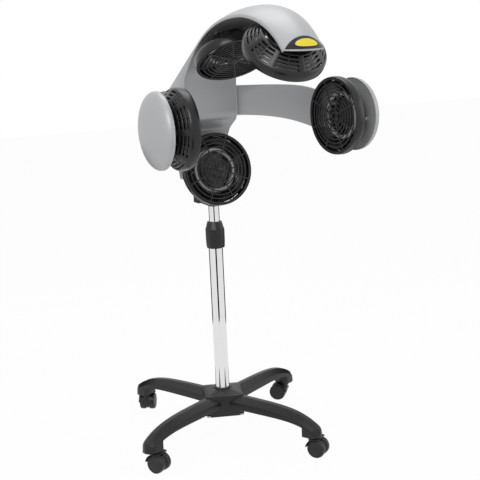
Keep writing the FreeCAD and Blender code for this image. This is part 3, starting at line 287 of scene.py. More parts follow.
def effect_group(name, inputs, outputs):
    """An empty shader group with named sockets, and its input and output nodes."""
    group = bpy.data.node_groups.new(name, "ShaderNodeTree")
    for label, kind, value in inputs:
        group.interface.new_socket(label, in_out="INPUT", socket_type=kind).default_value = value
    for label, kind in outputs:
        group.interface.new_socket(label, in_out="OUTPUT", socket_type=kind)
    return group, group.nodes.new("NodeGroupInput"), group.nodes.new("NodeGroupOutput")


# %% Effects: moulded grain and drawn lines
def build_texture(name, word, scale, depth, gloss, strength, noise):
    """The bump of a fine texture, and a gloss that wanders between two values."""
    group, given, out = effect_group(
        name, [(word + " Scale", FLOAT, scale), (word + " Depth", FLOAT, depth), ("Patch Scale", FLOAT, 14.0),
               ("Lowest Roughness", FLOAT, gloss[0]), ("Highest Roughness", FLOAT, gloss[1])],
        [("Roughness", FLOAT), ("Normal", VECTOR), ("Tone", FLOAT)])
    where = add_node(group, "ShaderNodeTexCoord")
    fine = add_node(group, "ShaderNodeTexNoise", word, noise)
    spread = add_node(group, "ShaderNodeMapRange", "gloss", {"From_Min": 0.3, "From_Max": 0.7})
    bump = add_node(group, "ShaderNodeBump", "relief", {"Strength": strength})
    wire(group, (given, word + " Scale", fine, "Scale"), (given, "Lowest Roughness", spread, "To Min"),
         (given, "Highest Roughness", spread, "To Max"), (given, word + " Depth", bump, "Distance"),
         (fine, "Fac", bump, "Height"), (spread, "Result", out, "Roughness"), (bump, "Normal", out, "Normal"))
    return group, given, out, where, fine, spread


def build_moulded_grain():
    """Fine texture of a mould, with patches of gloss."""
    group, given, out, where, grain, spread = build_texture(
        "moulded_grain", "Grain", 900.0, 0.00004, (0.3, 0.4), 0.6, {"Detail": 3.0, "Roughness": 0.6})
    patches = add_node(group, "ShaderNodeTexNoise", "wandering gloss", {"Detail": 5.0, "Roughness": 0.62})
    wire(group, (where, "Object", grain, "Vector"), (where, "Object", patches, "Vector"),
         (given, "Patch Scale", patches, "Scale"), (patches, "Fac", spread, "Value"),
         (patches, "Fac", out, "Tone"))
    return group


def build_drawn_metal():
    """Fine lines along Z, as drawing and polishing leave them on a tube."""
    group, _, out, where, lines, spread = build_texture(
        "drawn_metal", "Line", 400.0, 0.00001, (0.05, 0.1), 0.5, {"Detail": 2.0})
    stretch = add_node(group, "ShaderNodeMapping", "drawn out", {"Scale": (1.0, 1.0, 0.02)})
    wire(group, (where, "Object", stretch, "Vector"), (stretch, "Vector", lines, "Vector"),
         (lines, "Fac", spread, "Value"), (lines, "Fac", out, "Tone"))
    return group


moulded_grain, drawn_metal = build_moulded_grain(), build_drawn_metal()
print("effects:", moulded_grain.name, drawn_metal.name)


# %% Effects: rubbed edges and settled dust
def build_film(name, color, amount, output, span, noise):
    """A second colour over the first, where one output of the surface says so, broken up."""
    group, given, out = effect_group(
        name, [("Color", COLOR, (0.5, 0.5, 0.5, 1)), ("Film Color", COLOR, color), ("Amount", FLOAT, amount)],
        [("Color", COLOR)])
    surface = add_node(group, "ShaderNodeNewGeometry")
    where = add_node(group, "ShaderNodeTexCoord")
    breakup = add_node(group, "ShaderNodeTexNoise", "broken up", noise)
    reach = add_node(group, "ShaderNodeMapRange", "where it lies", {"From_Min": span[0], "From_Max": span[1]})
    product, share = math_nodes(group, "MULTIPLY", "MULTIPLY")
    mix = add_node(group, "ShaderNodeMix", data_type="RGBA")
    if output == "Normal":
        split = add_node(group, "ShaderNodeSeparateXYZ")
        wire(group, (surface, output, split, "Vector"), (split, "Z", reach, "Value"))
    else:
        wire(group, (surface, output, reach, "Value"))
    wire(group, (where, "Object", breakup, "Vector"), (reach, "Result", product, 0),
         (breakup, "Fac", product, 1), (product, "Value", share, 0), (given, "Amount", share, 1),
         (share, "Value", mix, "Factor"), (given, "Color", mix, "A"), (given, "Film Color", mix, "B"),
         (mix, "Result", out, "Color"))
    return group


rubbed_edges = build_film("rubbed_edges", (0.7, 0.7, 0.7, 1), 0.5, "Pointiness", (0.505, 0.58),
                          {"Scale": 60.0, "Detail": 6.0})
settled_dust = build_film("settled_dust", (0.45, 0.44, 0.42, 1), 0.1, "Normal", (0.2, 1.0),
                          {"Scale": 120.0, "Detail": 8.0})
print("effects:", rubbed_edges.name, settled_dust.name)


# %% Finish makers
def group_in(material, group, **values):
    node = material.node_tree.nodes.new("ShaderNodeGroup")
    node.node_tree = group
    return set_sockets(node, **values)


def bare_material(name):
    material = bpy.data.materials.new(name)
    material.use_nodes = True
    return material, material.node_tree.nodes["Principled BSDF"]


def mixed(tree, label, **sockets):
    return add_node(tree, "ShaderNodeMix", label, sockets, data_type="RGBA")


def finish_from(name, dark, light, texture_group, texture_values, films, shader):
    """Two near colours spread by a texture, then films over them, on one Principled shader."""
    material, principled = bare_material(name)
    tree = material.node_tree
    texture = group_in(material, texture_group, **texture_values)
    color, output = mixed(tree, "two tones", A=dark + (1,), B=light + (1,)), "Result"
    wire(tree, (texture, "Tone", color, "Factor"))
    for film_group, values in films:
        film = group_in(material, film_group, **values)
        wire(tree, (color, output, film, "Color"))
        color, output = film, "Color"
    wire(tree, (color, output, principled, "Base Color"), (texture, "Roughness", principled, "Roughness"),
         (texture, "Normal", principled, "Normal"))
    set_sockets(principled, **shader)
    return material


def moulded(name, dark, light, rubbed, gloss, grain=900.0, depth=0.00003, wear=0.4, dust=0.05, **shader):
    """Moulded plastic or paint: grain, rubbed edges and dust."""
    texture = {"Grain_Scale": grain, "Grain_Depth": depth, "Lowest_Roughness": gloss[0],
               "Highest_Roughness": gloss[1]}
    films = ((rubbed_edges, {"Film_Color": (rubbed,) * 3 + (1,), "Amount": wear}),
             (settled_dust, {"Amount": dust}))
    return finish_from(name, dark, light, moulded_grain, texture, films, shader)


def metal(name, dark, light, gloss, depth=0.000004):
    """Polished or drawn metal with faint lines along Z."""
    texture = {"Line_Depth": depth, "Lowest_Roughness": gloss[0], "Highest_Roughness": gloss[1]}
    return finish_from(name, dark, light, drawn_metal, texture, (), {"Metallic": 1.0})


# %% The object's own finishes, and the liner's silver painted darker as shade
silver = moulded("satin_silver", (0.43, 0.435, 0.445), (0.46, 0.465, 0.475), 0.6, (0.40, 0.48), grain=1600.0,
                 depth=0.00001, wear=0.0, dust=0.02, Metallic=0.25, Coat_Weight=0.08, Coat_Roughness=0.3)
# The liner is the shell's own satin silver plastic; its darker colour here is painted shade from under the
# arch.
shaded_liner_silver = moulded("shaded_liner_silver", (0.33, 0.335, 0.345), (0.36, 0.365, 0.375), 0.6, (0.30, 0.38),
                       grain=1400.0, depth=0.000008, wear=0.0, dust=0.0, Metallic=0.35)
lamp_black = moulded("lamp_black", (0.004, 0.004, 0.0045), (0.007, 0.007, 0.008), 0.03, (0.24, 0.34),
                     grain=1100.0, depth=0.00001, dust=0.01, Specular_IOR_Level=0.35, Coat_Weight=0.12,
                     Coat_Roughness=0.12)
grille_black = moulded("grille_black", (0.010, 0.010, 0.011), (0.014, 0.014, 0.015), 0.05, (0.34, 0.44),
                       grain=1100.0, depth=0.00001, wear=0.2, dust=0.01, Specular_IOR_Level=0.45)
dish_black = moulded("dish_black", (0.006, 0.006, 0.0065), (0.010, 0.010, 0.011), 0.03, (0.16, 0.26),
                     depth=0.00001, wear=0.0, dust=0.0, Specular_IOR_Level=0.8)
base_black = moulded("base_black", (0.004, 0.004, 0.0045), (0.008, 0.008, 0.0085), 0.04, (0.32, 0.44),
                     grain=700.0, depth=0.00004, wear=0.5, dust=0.02, Specular_IOR_Level=0.38)
tyre_black = moulded("tyre_black", (0.006, 0.006, 0.006), (0.010, 0.010, 0.010), 0.06, (0.38, 0.5),
                     grain=500.0, dust=0.04, Specular_IOR_Level=0.4)
bracket_black = moulded("bracket_black", (0.010, 0.010, 0.011), (0.015, 0.015, 0.016), 0.10, (0.38, 0.5),
                        grain=600.0, depth=0.00004, wear=0.5, dust=0.03, Specular_IOR_Level=0.4)
panel_grey = moulded("panel_grey", (0.06, 0.062, 0.066), (0.085, 0.087, 0.092), 0.2, (0.4, 0.52),
                     grain=800.0, depth=0.00005, dust=0.03)
print_white = moulded("print_white", (0.78, 0.78, 0.77), (0.86, 0.86, 0.85), 0.9, (0.4, 0.5), wear=0.0,
                      dust=0.02)
post_silver = moulded("post_silver", (0.62, 0.62, 0.63), (0.72, 0.72, 0.73), 0.8, (0.3, 0.4), wear=0.3,
                      dust=0.02, Metallic=0.4)
ceramic = moulded("ceramic", (0.72, 0.70, 0.66), (0.82, 0.80, 0.76), 0.84, (0.45, 0.6), grain=600.0,
                  depth=0.00005, wear=0.2)
quartz = moulded("quartz", (0.60, 0.60, 0.60), (0.74, 0.74, 0.72), 0.8, (0.06, 0.16), grain=200.0,
                 depth=0.00001, wear=0.0, dust=0.02, Coat_Weight=0.6, Coat_Roughness=0.04)
chrome = metal("chrome", (0.72, 0.72, 0.73), (0.80, 0.80, 0.81), (0.03, 0.07))
steel = metal("brushed_steel", (0.42, 0.42, 0.43), (0.58, 0.58, 0.59), (0.24, 0.36), depth=0.00002)
print("finishes:", len(bpy.data.materials))


# %% The badge's finish: a yellow oval with a dark outline
def badge_finish(centre, half, slant):
    """The outline is the distance from the oval's centre, read in the badge's own slanted plane."""
    material, principled = bare_material("badge_yellow")
    tree = material.node_tree
    where = add_node(tree, "ShaderNodeTexCoord")
    centred = add_node(tree, "ShaderNodeMapping", "to the badge's plane", vector_type="TEXTURE")
    set_sockets(centred, Location=centre * MM, Rotation=(radians(slant), 0, 0),
                Scale=(half[0] * MM, half[1] * MM, 1e6))
    distance = add_node(tree, "ShaderNodeVectorMath", operation="LENGTH")
    ring = add_node(tree, "ShaderNodeMapRange", "outline", {"From_Min": 0.87, "From_Max": 0.9})
    texture = group_in(material, moulded_grain, Grain_Depth=0.00001, Lowest_Roughness=0.22,
                       Highest_Roughness=0.32)
    field = mixed(tree, "printed field", A=(0.84, 0.68, 0.02, 1), B=(0.87, 0.72, 0.025, 1))
    outline = mixed(tree, "dark outline", B=(0.012, 0.016, 0.07, 1))
    wire(tree, (where, "Object", centred, "Vector"), (centred, "Vector", distance, 0),
         (distance, "Value", ring, "Value"), (texture, "Tone", field, "Factor"),
         (field, "Result", outline, "A"), (ring, "Result", outline, "Factor"),
         (outline, "Result", principled, "Base Color"),
         (texture, "Roughness", principled, "Roughness"), (texture, "Normal", principled, "Normal"))
    return material


# %% [markdown]
# ## The arch's own numbers
# The edge of the arch is two arcs that meet at its apex. A station is a point of that edge, the
# direction that points outwards there and half the arch's width. The shell and its liner are both
# drawn from stations, so they stay parallel all the way round.

# %% Stations along the arch
APEX_Y, APEX_Z = -350.0, 1176.0
REAR_RADIUS, FRONT_RADIUS = 425.0, 252.0
ARCH_TIP_ANGLE, SLOPE_ANGLE, CORNER_ANGLE, STATION_STEP = 47.2, 30.0, 51.4, 2.2
SPINE_HALF, TIP_HALF, BOTTOM_HALF = 77.0, 52.0, 58.0
SPINE_FRONT, LOWER_FRONT, SPINE_REAR, CROWN_REAR = -18.0, 45.0, 95.0, 116.0
SPINE_BOTTOM, WAIST, LINER_BOTTOM = 740.0, 884.0, 745.0
SIDE_WALL, CAMBER, SHELL_WALL, LINER_WALL, SEAT = 6.0, 21.0, 3.0, 2.5, 0.3
TIP_BULGE, TIP_FADE = 21.0, 13.0
FRONT_BENDS = ((SPINE_FRONT, 922), (-9, 906), (33, 880), (LOWER_FRONT, 856))
BADGE_HALF = (31.0, 13.0)


def station(turn):
    """Edge point (y, z), outward direction and half width; positive turns lie to the rear."""
    radius = REAR_RADIUS if turn >= 0 else FRONT_RADIUS
    angle = radians(turn)
    edge = Vector((0, APEX_Y + radius * sin(angle), APEX_Z - radius * (1 - cos(angle))))
    share = min(1.0, max(0.0, (SLOPE_ANGLE - turn) / (SLOPE_ANGLE + ARCH_TIP_ANGLE)))
    ease = share * share * (3 - 2 * share)
    return edge, Vector((0, sin(angle), cos(angle))), SPINE_HALF * (1 - ease) + TIP_HALF * ease


def tip_pull(turn, x, back=0.0):
    """How far the rounded tip pulls a station's point onwards, at a distance x from the middle."""
    radius = (TIP_HALF ** 2 + TIP_BULGE ** 2) / (2 * TIP_BULGE)
    reach = TIP_BULGE - back - radius + sqrt(max(0.0, radius ** 2 - x ** 2))
    onward = Vector((0, -cos(radians(turn)), sin(radians(turn))))
    return onward * reach * max(0.0, 1.0 - (turn + ARCH_TIP_ANGLE) / TIP_FADE) ** 1.5


def crown_rise(x, half, rise):
    """Height of a crowned section at x: an arc over its chord."""
    radius = (half ** 2 + rise ** 2) / (2 * rise)
    return sqrt(max(0.0, radius ** 2 - x ** 2)) - radius + rise


def spine_half(z):
    """Half width of the spine, which narrows below its waist."""
    if z >= WAIST:
        return SPINE_HALF
    return BOTTOM_HALF + (SPINE_HALF - BOTTOM_HALF) * (z - SPINE_BOTTOM) / (WAIST - SPINE_BOTTOM)


tip_edge = station(-ARCH_TIP_ANGLE)[0]
badge_yellow = badge_finish(tip_edge, BADGE_HALF, ARCH_TIP_ANGLE)
print("tip corners at", [round(v) for v in tip_edge])

# %% [markdown]
# ## The arch shell
# The real shell is one moulding: a crowned skin with short side walls that grow into the deep
# sides of the spine. A CAD boolean gives it sharp joins. Here each section across the arch is a
# polyline with a softened shoulder, the sections are lofted, and Solidify gives the wall. The
# windows for the hinges and the control panel are then cut, and the edges are broken.

# %% Loft the outer skin
ACROSS, ARCH_STATIONS, SHOULDER_SOFT, BEND_SOFT = 28, 35, 2.6, 9.0


def shell_section(foot, shoulder, crown, half_foot, half_shoulder):
    """From the right foot, up the side wall, over the crown and down the left side wall."""
    rise = crown - shoulder
    points = [foot + Vector((half_foot, 0, 0)), shoulder + Vector((half_shoulder, 0, 0))]
    for i in range(1, ACROSS):
        x = half_shoulder * cos(pi * i / ACROSS * 0.5 + pi / 4) / cos(pi / 4)
        lift = crown_rise(x, half_shoulder, rise.length)
        points.append(shoulder + rise.normalized() * lift + Vector((x, 0, 0)))
    points += [shoulder - Vector((half_shoulder, 0, 0)), foot - Vector((half_foot, 0, 0))]
    return softened(points, SHOULDER_SOFT, (1, len(points) - 2), 3)


def arch_sections():
    sections = []
    for turn in [-ARCH_TIP_ANGLE + STATION_STEP * i for i in range(ARCH_STATIONS)] + [SLOPE_ANGLE]:
        edge, outward, half = station(turn)
        section = shell_section(edge, edge + outward * SIDE_WALL, edge + outward * (SIDE_WALL + CAMBER),
                                half, half)
        sections.append([p + tip_pull(turn, min(abs(p.x), half)) for p in section])
    return sections


def side_lines():
    """Foot, shoulder and crown of the spine's side, from the arch down to the spine's lower end."""
    edge, outward = station(SLOPE_ANGLE)[:2]
    down = Vector((0, cos(radians(SLOPE_ANGLE)), -sin(radians(SLOPE_ANGLE))))
    shoulder, crown = edge + outward * SIDE_WALL, edge + outward * (SIDE_WALL + CAMBER)
    shoulder_end = shoulder + down * ((SPINE_REAR - shoulder.y) / down.y)
    crown_end = crown + down * ((CROWN_REAR - crown.y) / down.y)
    steps = 10
    feet, shoulders, crowns = [], [], []
    for i in range(1, steps + 1):
        t = i / steps
        feet.append(station(SLOPE_ANGLE + (CORNER_ANGLE - SLOPE_ANGLE) * t)[0])
        shoulders.append(shoulder.lerp(shoulder_end, t))
        crowns.append(crown.lerp(crown_end, t))
    for y, z in ((SPINE_FRONT, 970),) + FRONT_BENDS + ((LOWER_FRONT, 798), (LOWER_FRONT, SPINE_BOTTOM)):
        feet.append(Vector((0, y, z)))
        shoulders.append(Vector((0, SPINE_REAR, z)))
        crowns.append(Vector((0, CROWN_REAR, z)))
    corners = [steps + i for i in (-1, 1, 2, 3, 4)]
    return list(zip(*[softened(line, BEND_SOFT, corners) for line in (feet, shoulders, crowns)]))


def face_up(sheet, way):
    """Turns an open sheet so that its highest face looks up (1) or down (-1)."""
    highest = max(sheet.data.polygons, key=lambda face: face.center.z)
    if highest.normal.z * way < 0:
        sheet.data.flip_normals()


def walled_skin(name, sections, way, wall):
    """An open loft across the arch, walled from the side that it faces."""
    sheet = tidy_faces(piece_from(name, *loft(sections, closed=False)))
    face_up(sheet, way)
    walled(sheet, wall)
    return sheet


def cut_windows(piece, cutters):
    for tool in cutters:
        cut = piece.modifiers.new("window", "BOOLEAN")
        cut.operation = "DIFFERENCE"
        cut.object = tool
        cut.solver = "EXACT"
    made_plain(piece)
    for tool in cutters:
        bpy.data.objects.remove(tool)


ARM_LOW, ARM_HIGH, ARM_PIN_X, ARM_PIN_Y = 914.0, 996.0, 61.0, 26.0
HINGE_FRONT, HINGE_REAR, HINGE_GAP, BEYOND_SIDE = 21, 11, 2, 100
PANEL_WINDOW = (-47.3, 47.3, 80, 140, 769.7, 934.3)
skin = arch_sections()
for foot, shoulder, crown in side_lines():
    skin.append(shell_section(foot, shoulder, crown, spine_half(foot.z), spine_half(shoulder.z)))
arch_shell = walled_skin("arch_shell", skin, 1, SHELL_WALL)
windows = []
for side in (1, -1):
    x0, x1 = sorted((side * (ARM_PIN_X + 4), side * BEYOND_SIDE))
    windows.append(boxed("cutter", x0, x1, ARM_PIN_Y - HINGE_FRONT, ARM_PIN_Y + HINGE_REAR,
                         ARM_LOW - HINGE_GAP, ARM_HIGH + HINGE_GAP, 2.5))
windows.append(boxed("cutter", *PANEL_WINDOW, 5.0))
cut_windows(arch_shell, windows)
made_plain(broken_edges(arch_shell, 0.7, 42.0), 40.0)
print("arch shell faces:", len(arch_shell.data.polygons))


# %% Floor and hinge shelves of the shell
def floor_outline(z, inset):
    half, points = spine_half(z) - inset, []
    for i in range(17):
        x = half * cos(pi * i / 16)
        points.append((x, SPINE_REAR - inset + crown_rise(x, half, CAMBER - inset), z))
    return [(half, LOWER_FRONT + 3, z)] + points + [(-half, LOWER_FRONT + 3, z)]


floor = loft([floor_outline(z, 2.8) for z in (SPINE_BOTTOM + 0.1, SPINE_BOTTOM + 4)])
shell_parts = [tidy_faces(piece_from("floor", *floor))]
for side in (1, -1):
    for z in (ARM_LOW - 5, ARM_HIGH + 1):
        x0, x1 = sorted((side * (ARM_PIN_X - 15), side * (SPINE_HALF - 2)))
        shell_parts.append(boxed("shelf", x0, x1, ARM_PIN_Y - 18, ARM_PIN_Y + 18, z, z + 4, 0.5))
for part in shell_parts:
    shaded(part.data)
finished(joined("arch_shell", [arch_shell] + shell_parts), silver, "head", "silver_plastic", "spine_shell")

# %% [markdown]
# ## The liner
# Seen from the seat, the inside of the arch is a second skin, seated a hair inside the shell's
# rim, so a fine dark line runs all the way round. It is lofted from the same stations and walled
# towards the shell. An apron below carries the nape lamp's lowest post.

# %% Loft the liner
TIP_SET_BACK, EDGE_CROWN, SPINE_CROWN, LINER_JOIN = 3.2, 1.0, 10.0, 1012
FLATTEN_FROM, FLATTEN_SPAN, LINER_STATIONS = 34, 16, 44


def liner_section(turn):
    edge, outward, half = station(turn)
    fullness = min(1.0, max(0.0, (FLATTEN_FROM - turn) / FLATTEN_SPAN))
    full = SIDE_WALL + CAMBER - SHELL_WALL - LINER_WALL - EDGE_CROWN
    crown = SPINE_CROWN * (1 - fullness) + full * fullness
    reach, points = half - SHELL_WALL - SEAT, []
    for i in range(ACROSS + 1):
        x = reach * cos(pi * i / ACROSS)
        lift = EDGE_CROWN + crown_rise(x, half, crown - EDGE_CROWN)
        point = edge + outward * lift + Vector((x, 0, 0)) + tip_pull(turn, x, TIP_SET_BACK)
        point.y = min(point.y, SPINE_FRONT)
        points.append(point)
    return points


def flat_section(y, z):
    reach = spine_half(z) - SHELL_WALL - SEAT
    return [Vector((reach * cos(pi * i / ACROSS), y, z)) for i in range(ACROSS + 1)]


front_line = ((SPINE_FRONT, LINER_JOIN),) + FRONT_BENDS + ((LOWER_FRONT, LINER_BOTTOM),)
front_line = softened([(0, y, z) for y, z in front_line], BEND_SOFT, (1, 2, 3, 4))
liner_sections = [liner_section(-ARCH_TIP_ANGLE + STATION_STEP * i) for i in range(LINER_STATIONS)]
liner_sections += [flat_section(p.y, p.z) for p in front_line]
arch_liner = walled_skin("arch_liner", liner_sections, -1, LINER_WALL)
made_plain(broken_edges(arch_liner, 0.6, 42.0), 40.0)
apron = boxed("apron", -50, 50, LOWER_FRONT, LOWER_FRONT + LINER_WALL, 718, 752, 0.8)
shaded(apron.data)
arch_liner = joined("arch_liner", [arch_liner, apron])
# The liner's darker silver is painted shade; the liner is the shell's own silver plastic.
finished(arch_liner, shaded_liner_silver, "head", "liner_grey", "spine_liner")
print("liner faces:", len(arch_liner.data.polygons))

# %% [markdown]
# ## Geometry Nodes for what repeats
# A lamp housing is one slotted sector repeated eight times, a grille is rings and spokes at even
# steps, and the marks of the dial go round an axis in the same way. A node tree with named sizes
# says that rule once. Each tree realizes its instances and sets the material, and the result is
# then made a plain mesh.

# %% A tree with named inputs
GEOMETRY = "Geometry"


def growth_tree(name, sizes):
    """An empty Geometry Nodes tree that takes a mesh, named sizes and a material."""
    tree = bpy.data.node_groups.new(name, "GeometryNodeTree")
    tree.interface.new_socket(GEOMETRY, in_out="INPUT", socket_type="NodeSocketGeometry")
    for label, kind in sizes + [("Material", "NodeSocketMaterial")]:
        tree.interface.new_socket(label, in_out="INPUT", socket_type=kind)
    tree.interface.new_socket(GEOMETRY, in_out="OUTPUT", socket_type="NodeSocketGeometry")
    return tree, tree.nodes.new("NodeGroupInput"), tree.nodes.new("NodeGroupOutput")


def painted(tree, given, out, source):
    """Sets the material on what has grown, and hands it on."""
    paint = add_node(tree, "GeometryNodeSetMaterial")
    wire(tree, (source, GEOMETRY, paint, GEOMETRY), (given, "Material", paint, "Material"),
         (paint, GEOMETRY, out, GEOMETRY))
    return tree


def grown(piece, tree, **sizes):
    """Adds the tree to a piece and sets its inputs by the sockets' identifiers."""
    growth = piece.modifiers.new(tree.name, "NODES")
    growth.node_group = tree
    wanted = {key.replace("_", " "): value for key, value in sizes.items()}
    for item in tree.interface.items_tree:
        if item.item_type == "SOCKET" and item.in_out == "INPUT" and item.name in wanted:
            growth[item.identifier] = wanted[item.name]
    return piece


def copies_about_z(tree, given, count, start):
    """Points at the origin, each with its own turn about Z; returns the points and the turns."""
    line = add_node(tree, "GeometryNodeMeshLine", "one point for each copy", {"Offset": (0, 0, 0)})
    index = add_node(tree, "GeometryNodeInputIndex")
    step, angle = math_nodes(tree, "DIVIDE", "MULTIPLY_ADD")
    step.inputs[0].default_value = 2 * pi
    turn = add_node(tree, "ShaderNodeCombineXYZ")
    wire(tree, (given, count, line, "Count"), (given, count, step, 1), (index, "Index", angle, 0),
         (step, "Value", angle, 1), (given, start, angle, 2), (angle, "Value", turn, "Z"))
    return line, turn


# %% Tree: copies in a ring
def build_ring_of_copies():
    tree, given, out = growth_tree("ring_of_copies", [("Count", INT), ("Start Angle", FLOAT)])
    points, turns = copies_about_z(tree, given, "Count", "Start Angle")
    place = add_node(tree, "GeometryNodeInstanceOnPoints")
    realize = add_node(tree, "GeometryNodeRealizeInstances")
    weld = add_node(tree, "GeometryNodeMergeByDistance", "welded seams", {"Distance": 0.00002})
    wire(tree, (points, "Mesh", place, "Points"), (given, GEOMETRY, place, "Instance"),
         (turns, "Vector", place, "Rotation"), (place, "Instances", realize, GEOMETRY),
         (realize, GEOMETRY, weld, GEOMETRY))
    return painted(tree, given, out, weld)


ring_of_copies = build_ring_of_copies()
print("tree:", ring_of_copies.name)


# %% Tree: web of rings and spokes
def build_grille_web():
    """Rings at an even pitch and spokes between two radii, as bars of one square section."""
    sizes = [("Rings", INT), ("Spokes", INT)]
    sizes += [(size, FLOAT) for size in ("First Ring", "Ring Pitch", "Spoke Turn", "Spoke Start", "Spoke End",
                                         "Bar", "Level")]
    tree, given, out = growth_tree("grille_web", sizes)
    line = add_node(tree, "GeometryNodeMeshLine", "one point for each ring")
    index = add_node(tree, "GeometryNodeInputIndex")
    radius, corner = math_nodes(tree, "MULTIPLY_ADD", "MULTIPLY")
    corner.inputs[1].default_value = 0.22
    level, inner, outer = (add_node(tree, "ShaderNodeCombineXYZ", label)
                           for label in ("on the axis", "spoke's inner end", "spoke's outer end"))
    flat = add_node(tree, "GeometryNodeSetPosition", "onto the axis")
    circle = add_node(tree, "GeometryNodeCurvePrimitiveCircle", "a ring", {"Resolution": 64, "Radius": 1.0})
    rings, spokes = (add_node(tree, "GeometryNodeInstanceOnPoints", label) for label in ("rings", "spokes"))
    spoke = add_node(tree, "GeometryNodeCurvePrimitiveLine")
    points, turns = copies_about_z(tree, given, "Spokes", "Spoke Turn")
    lines, whole = (add_node(tree, "GeometryNodeJoinGeometry", label) for label in ("lines", "whole"))
    realize = add_node(tree, "GeometryNodeRealizeInstances")
    section = add_node(tree, "GeometryNodeCurvePrimitiveQuadrilateral", "bar section")
    softer = add_node(tree, "GeometryNodeFilletCurve", "softened section", mode="POLY")
    bars = add_node(tree, "GeometryNodeCurveToMesh", "bars", {"Fill_Caps": True})
    wire(tree, *((given, "Level", point, "Z") for point in (level, inner, outer)))
    wire(tree, (given, "Rings", line, "Count"), (line, "Mesh", flat, GEOMETRY),
         (level, "Vector", flat, "Position"), (index, "Index", radius, 0), (given, "Ring Pitch", radius, 1),
         (given, "First Ring", radius, 2), (flat, GEOMETRY, rings, "Points"),
         (circle, "Curve", rings, "Instance"), (radius, "Value", rings, "Scale"))
    wire(tree, (given, "Spoke Start", inner, "X"), (given, "Spoke End", outer, "X"),
         (inner, "Vector", spoke, "Start"), (outer, "Vector", spoke, "End"),
         (points, "Mesh", spokes, "Points"), (spoke, "Curve", spokes, "Instance"),
         (turns, "Vector", spokes, "Rotation"))
    wire(tree, (rings, "Instances", lines, GEOMETRY), (spokes, "Instances", lines, GEOMETRY),
         (lines, GEOMETRY, realize, GEOMETRY), (given, "Bar", section, "Width"),
         (given, "Bar", section, "Height"), (given, "Bar", corner, 0), (section, "Curve", softer, "Curve"),
         (corner, "Value", softer, "Radius"), (realize, GEOMETRY, bars, "Curve"),
         (softer, "Curve", bars, "Profile Curve"), (bars, "Mesh", whole, GEOMETRY),
         (given, GEOMETRY, whole, GEOMETRY))
    return painted(tree, given, out, whole)


grille_web = build_grille_web()
print("tree:", grille_web.name)

# %% [markdown]
# ## The lamps
# All five lamps are the same unit: a ringed black housing with paired slots in its sloping back,
# a domed spider-web grille inside the lip, and a quartz ring tube over a dark dish. One is made in
# its own frame, with the light along +Z, and its mesh is then placed five times.

# %% Frames of the five lamps
DISC_PIN = Vector((258.5, -193.0, 921.0))
SIDE_X, SIDE_Y, RIGHT_TOE, LEFT_TOE = 199.5, -295.0, 7, 2


def side_frame(side, toe):
    """A side lamp faces inwards and is turned with its disc about the disc's pin."""
    face = Matrix.Translation((side * SIDE_X, SIDE_Y, DISC_PIN.z)) @ turned_by(-90 * side, "Y")
    pin = Vector((side * DISC_PIN.x, DISC_PIN.y, 0))
    return Matrix.Translation(pin) @ turned_by(toe, "Z") @ Matrix.Translation(-pin) @ face


LAMP_FRAMES = {
    "nape": Matrix.Translation((0, -45, 778)) @ turned_by(77, "X"),
    "rear": Matrix.Translation((0, -175, 1070)) @ turned_by(148, "X"),
    "front": Matrix.Translation((0, -441.5, 1087)) @ turned_by(-142, "X"),
    "right": side_frame(1, RIGHT_TOE),
    "left": side_frame(-1, LEFT_TOE),
}
LAMP_BODY = {"nape": "head", "rear": "head", "front": "head", "right": "right_head", "left": "left_head"}
print("lamps:", ", ".join(LAMP_FRAMES))

# %% One slotted sector of a housing
SPOKE_ANGLE, RIB_ANGLE, SECTOR = 10.0, 1.8, 45.0
SLOT_ROWS, SLOT_WIDTH, SLOT_STEPS, HOUSING_WALL = 4, 4.2, 5, 2.0
RIM_PROFILE = [(96.6, -2.4), (96.6, -0.9), (97.0, -0.2), (97.7, 0.0), (98.4, -0.4), (99.0, -2.0),
               (99.5, -5.0), (99.8, -8.6), (100.0, -12.4), (99.9, -15.8), (99.4, -19.2), (98.5, -22.2),
               (97.3, -24.4)]
BACK_PROFILE = [(66.4, -52.7), (64.5, -53.3), (56.0, -53.5), (55.2, -54.6), (45.0, -54.8), (44.2, -56.1),
                (34.0, -56.3), (33.2, -57.6), (25.0, -57.8), (24.0, -59.0)]
SLOPE_TOP, SLOPE_BOTTOM = Vector((97.0, -24.8)), Vector((66.0, -53.1))
RIM_MIDDLE, BACK_CENTRE = -14.0, -59.0


def slotted_sector():
    """An open sheet for 45 degrees of the housing, with the faces of its slots left out."""
    sweep = (SECTOR - SPOKE_ANGLE - RIB_ANGLE) / 2
    angles, open_columns = [0.0], []
    for first in (SPOKE_ANGLE / 2, SPOKE_ANGLE / 2 + sweep + RIB_ANGLE):
        open_columns += [len(angles) + k for k in range(SLOT_STEPS)]
        angles += [first + sweep * k / SLOT_STEPS for k in range(SLOT_STEPS + 1)]
    angles.append(SECTOR)
    rows, open_rows = list(RIM_PROFILE), []
    run = SLOPE_BOTTOM - SLOPE_TOP
    pitch = (run.length - 2.0) / SLOT_ROWS
    for row in range(SLOT_ROWS):
        middle = 1.0 + pitch * (row + 0.5)
        open_rows.append(len(rows))
        for reach in (middle - SLOT_WIDTH / 2, middle + SLOT_WIDTH / 2):
            rows.append(tuple(SLOPE_TOP + run * (reach / run.length)))
    rows += BACK_PROFILE
    points = [(radius * cos(radians(angle)), radius * sin(radians(angle)), height)
              for radius, height in rows for angle in angles]
    points.append((0, 0, BACK_CENTRE))
    count, faces = len(angles), []
    for r in range(len(rows) - 1):
        for c in range(count - 1):
            if not (r in open_rows and c in open_columns):
                faces.append([r * count + c, r * count + c + 1, (r + 1) * count + c + 1, (r + 1) * count + c])
    last = (len(rows) - 1) * count
    faces += [[last + c, last + c + 1, len(points) - 1] for c in range(count - 1)]
    return points, faces


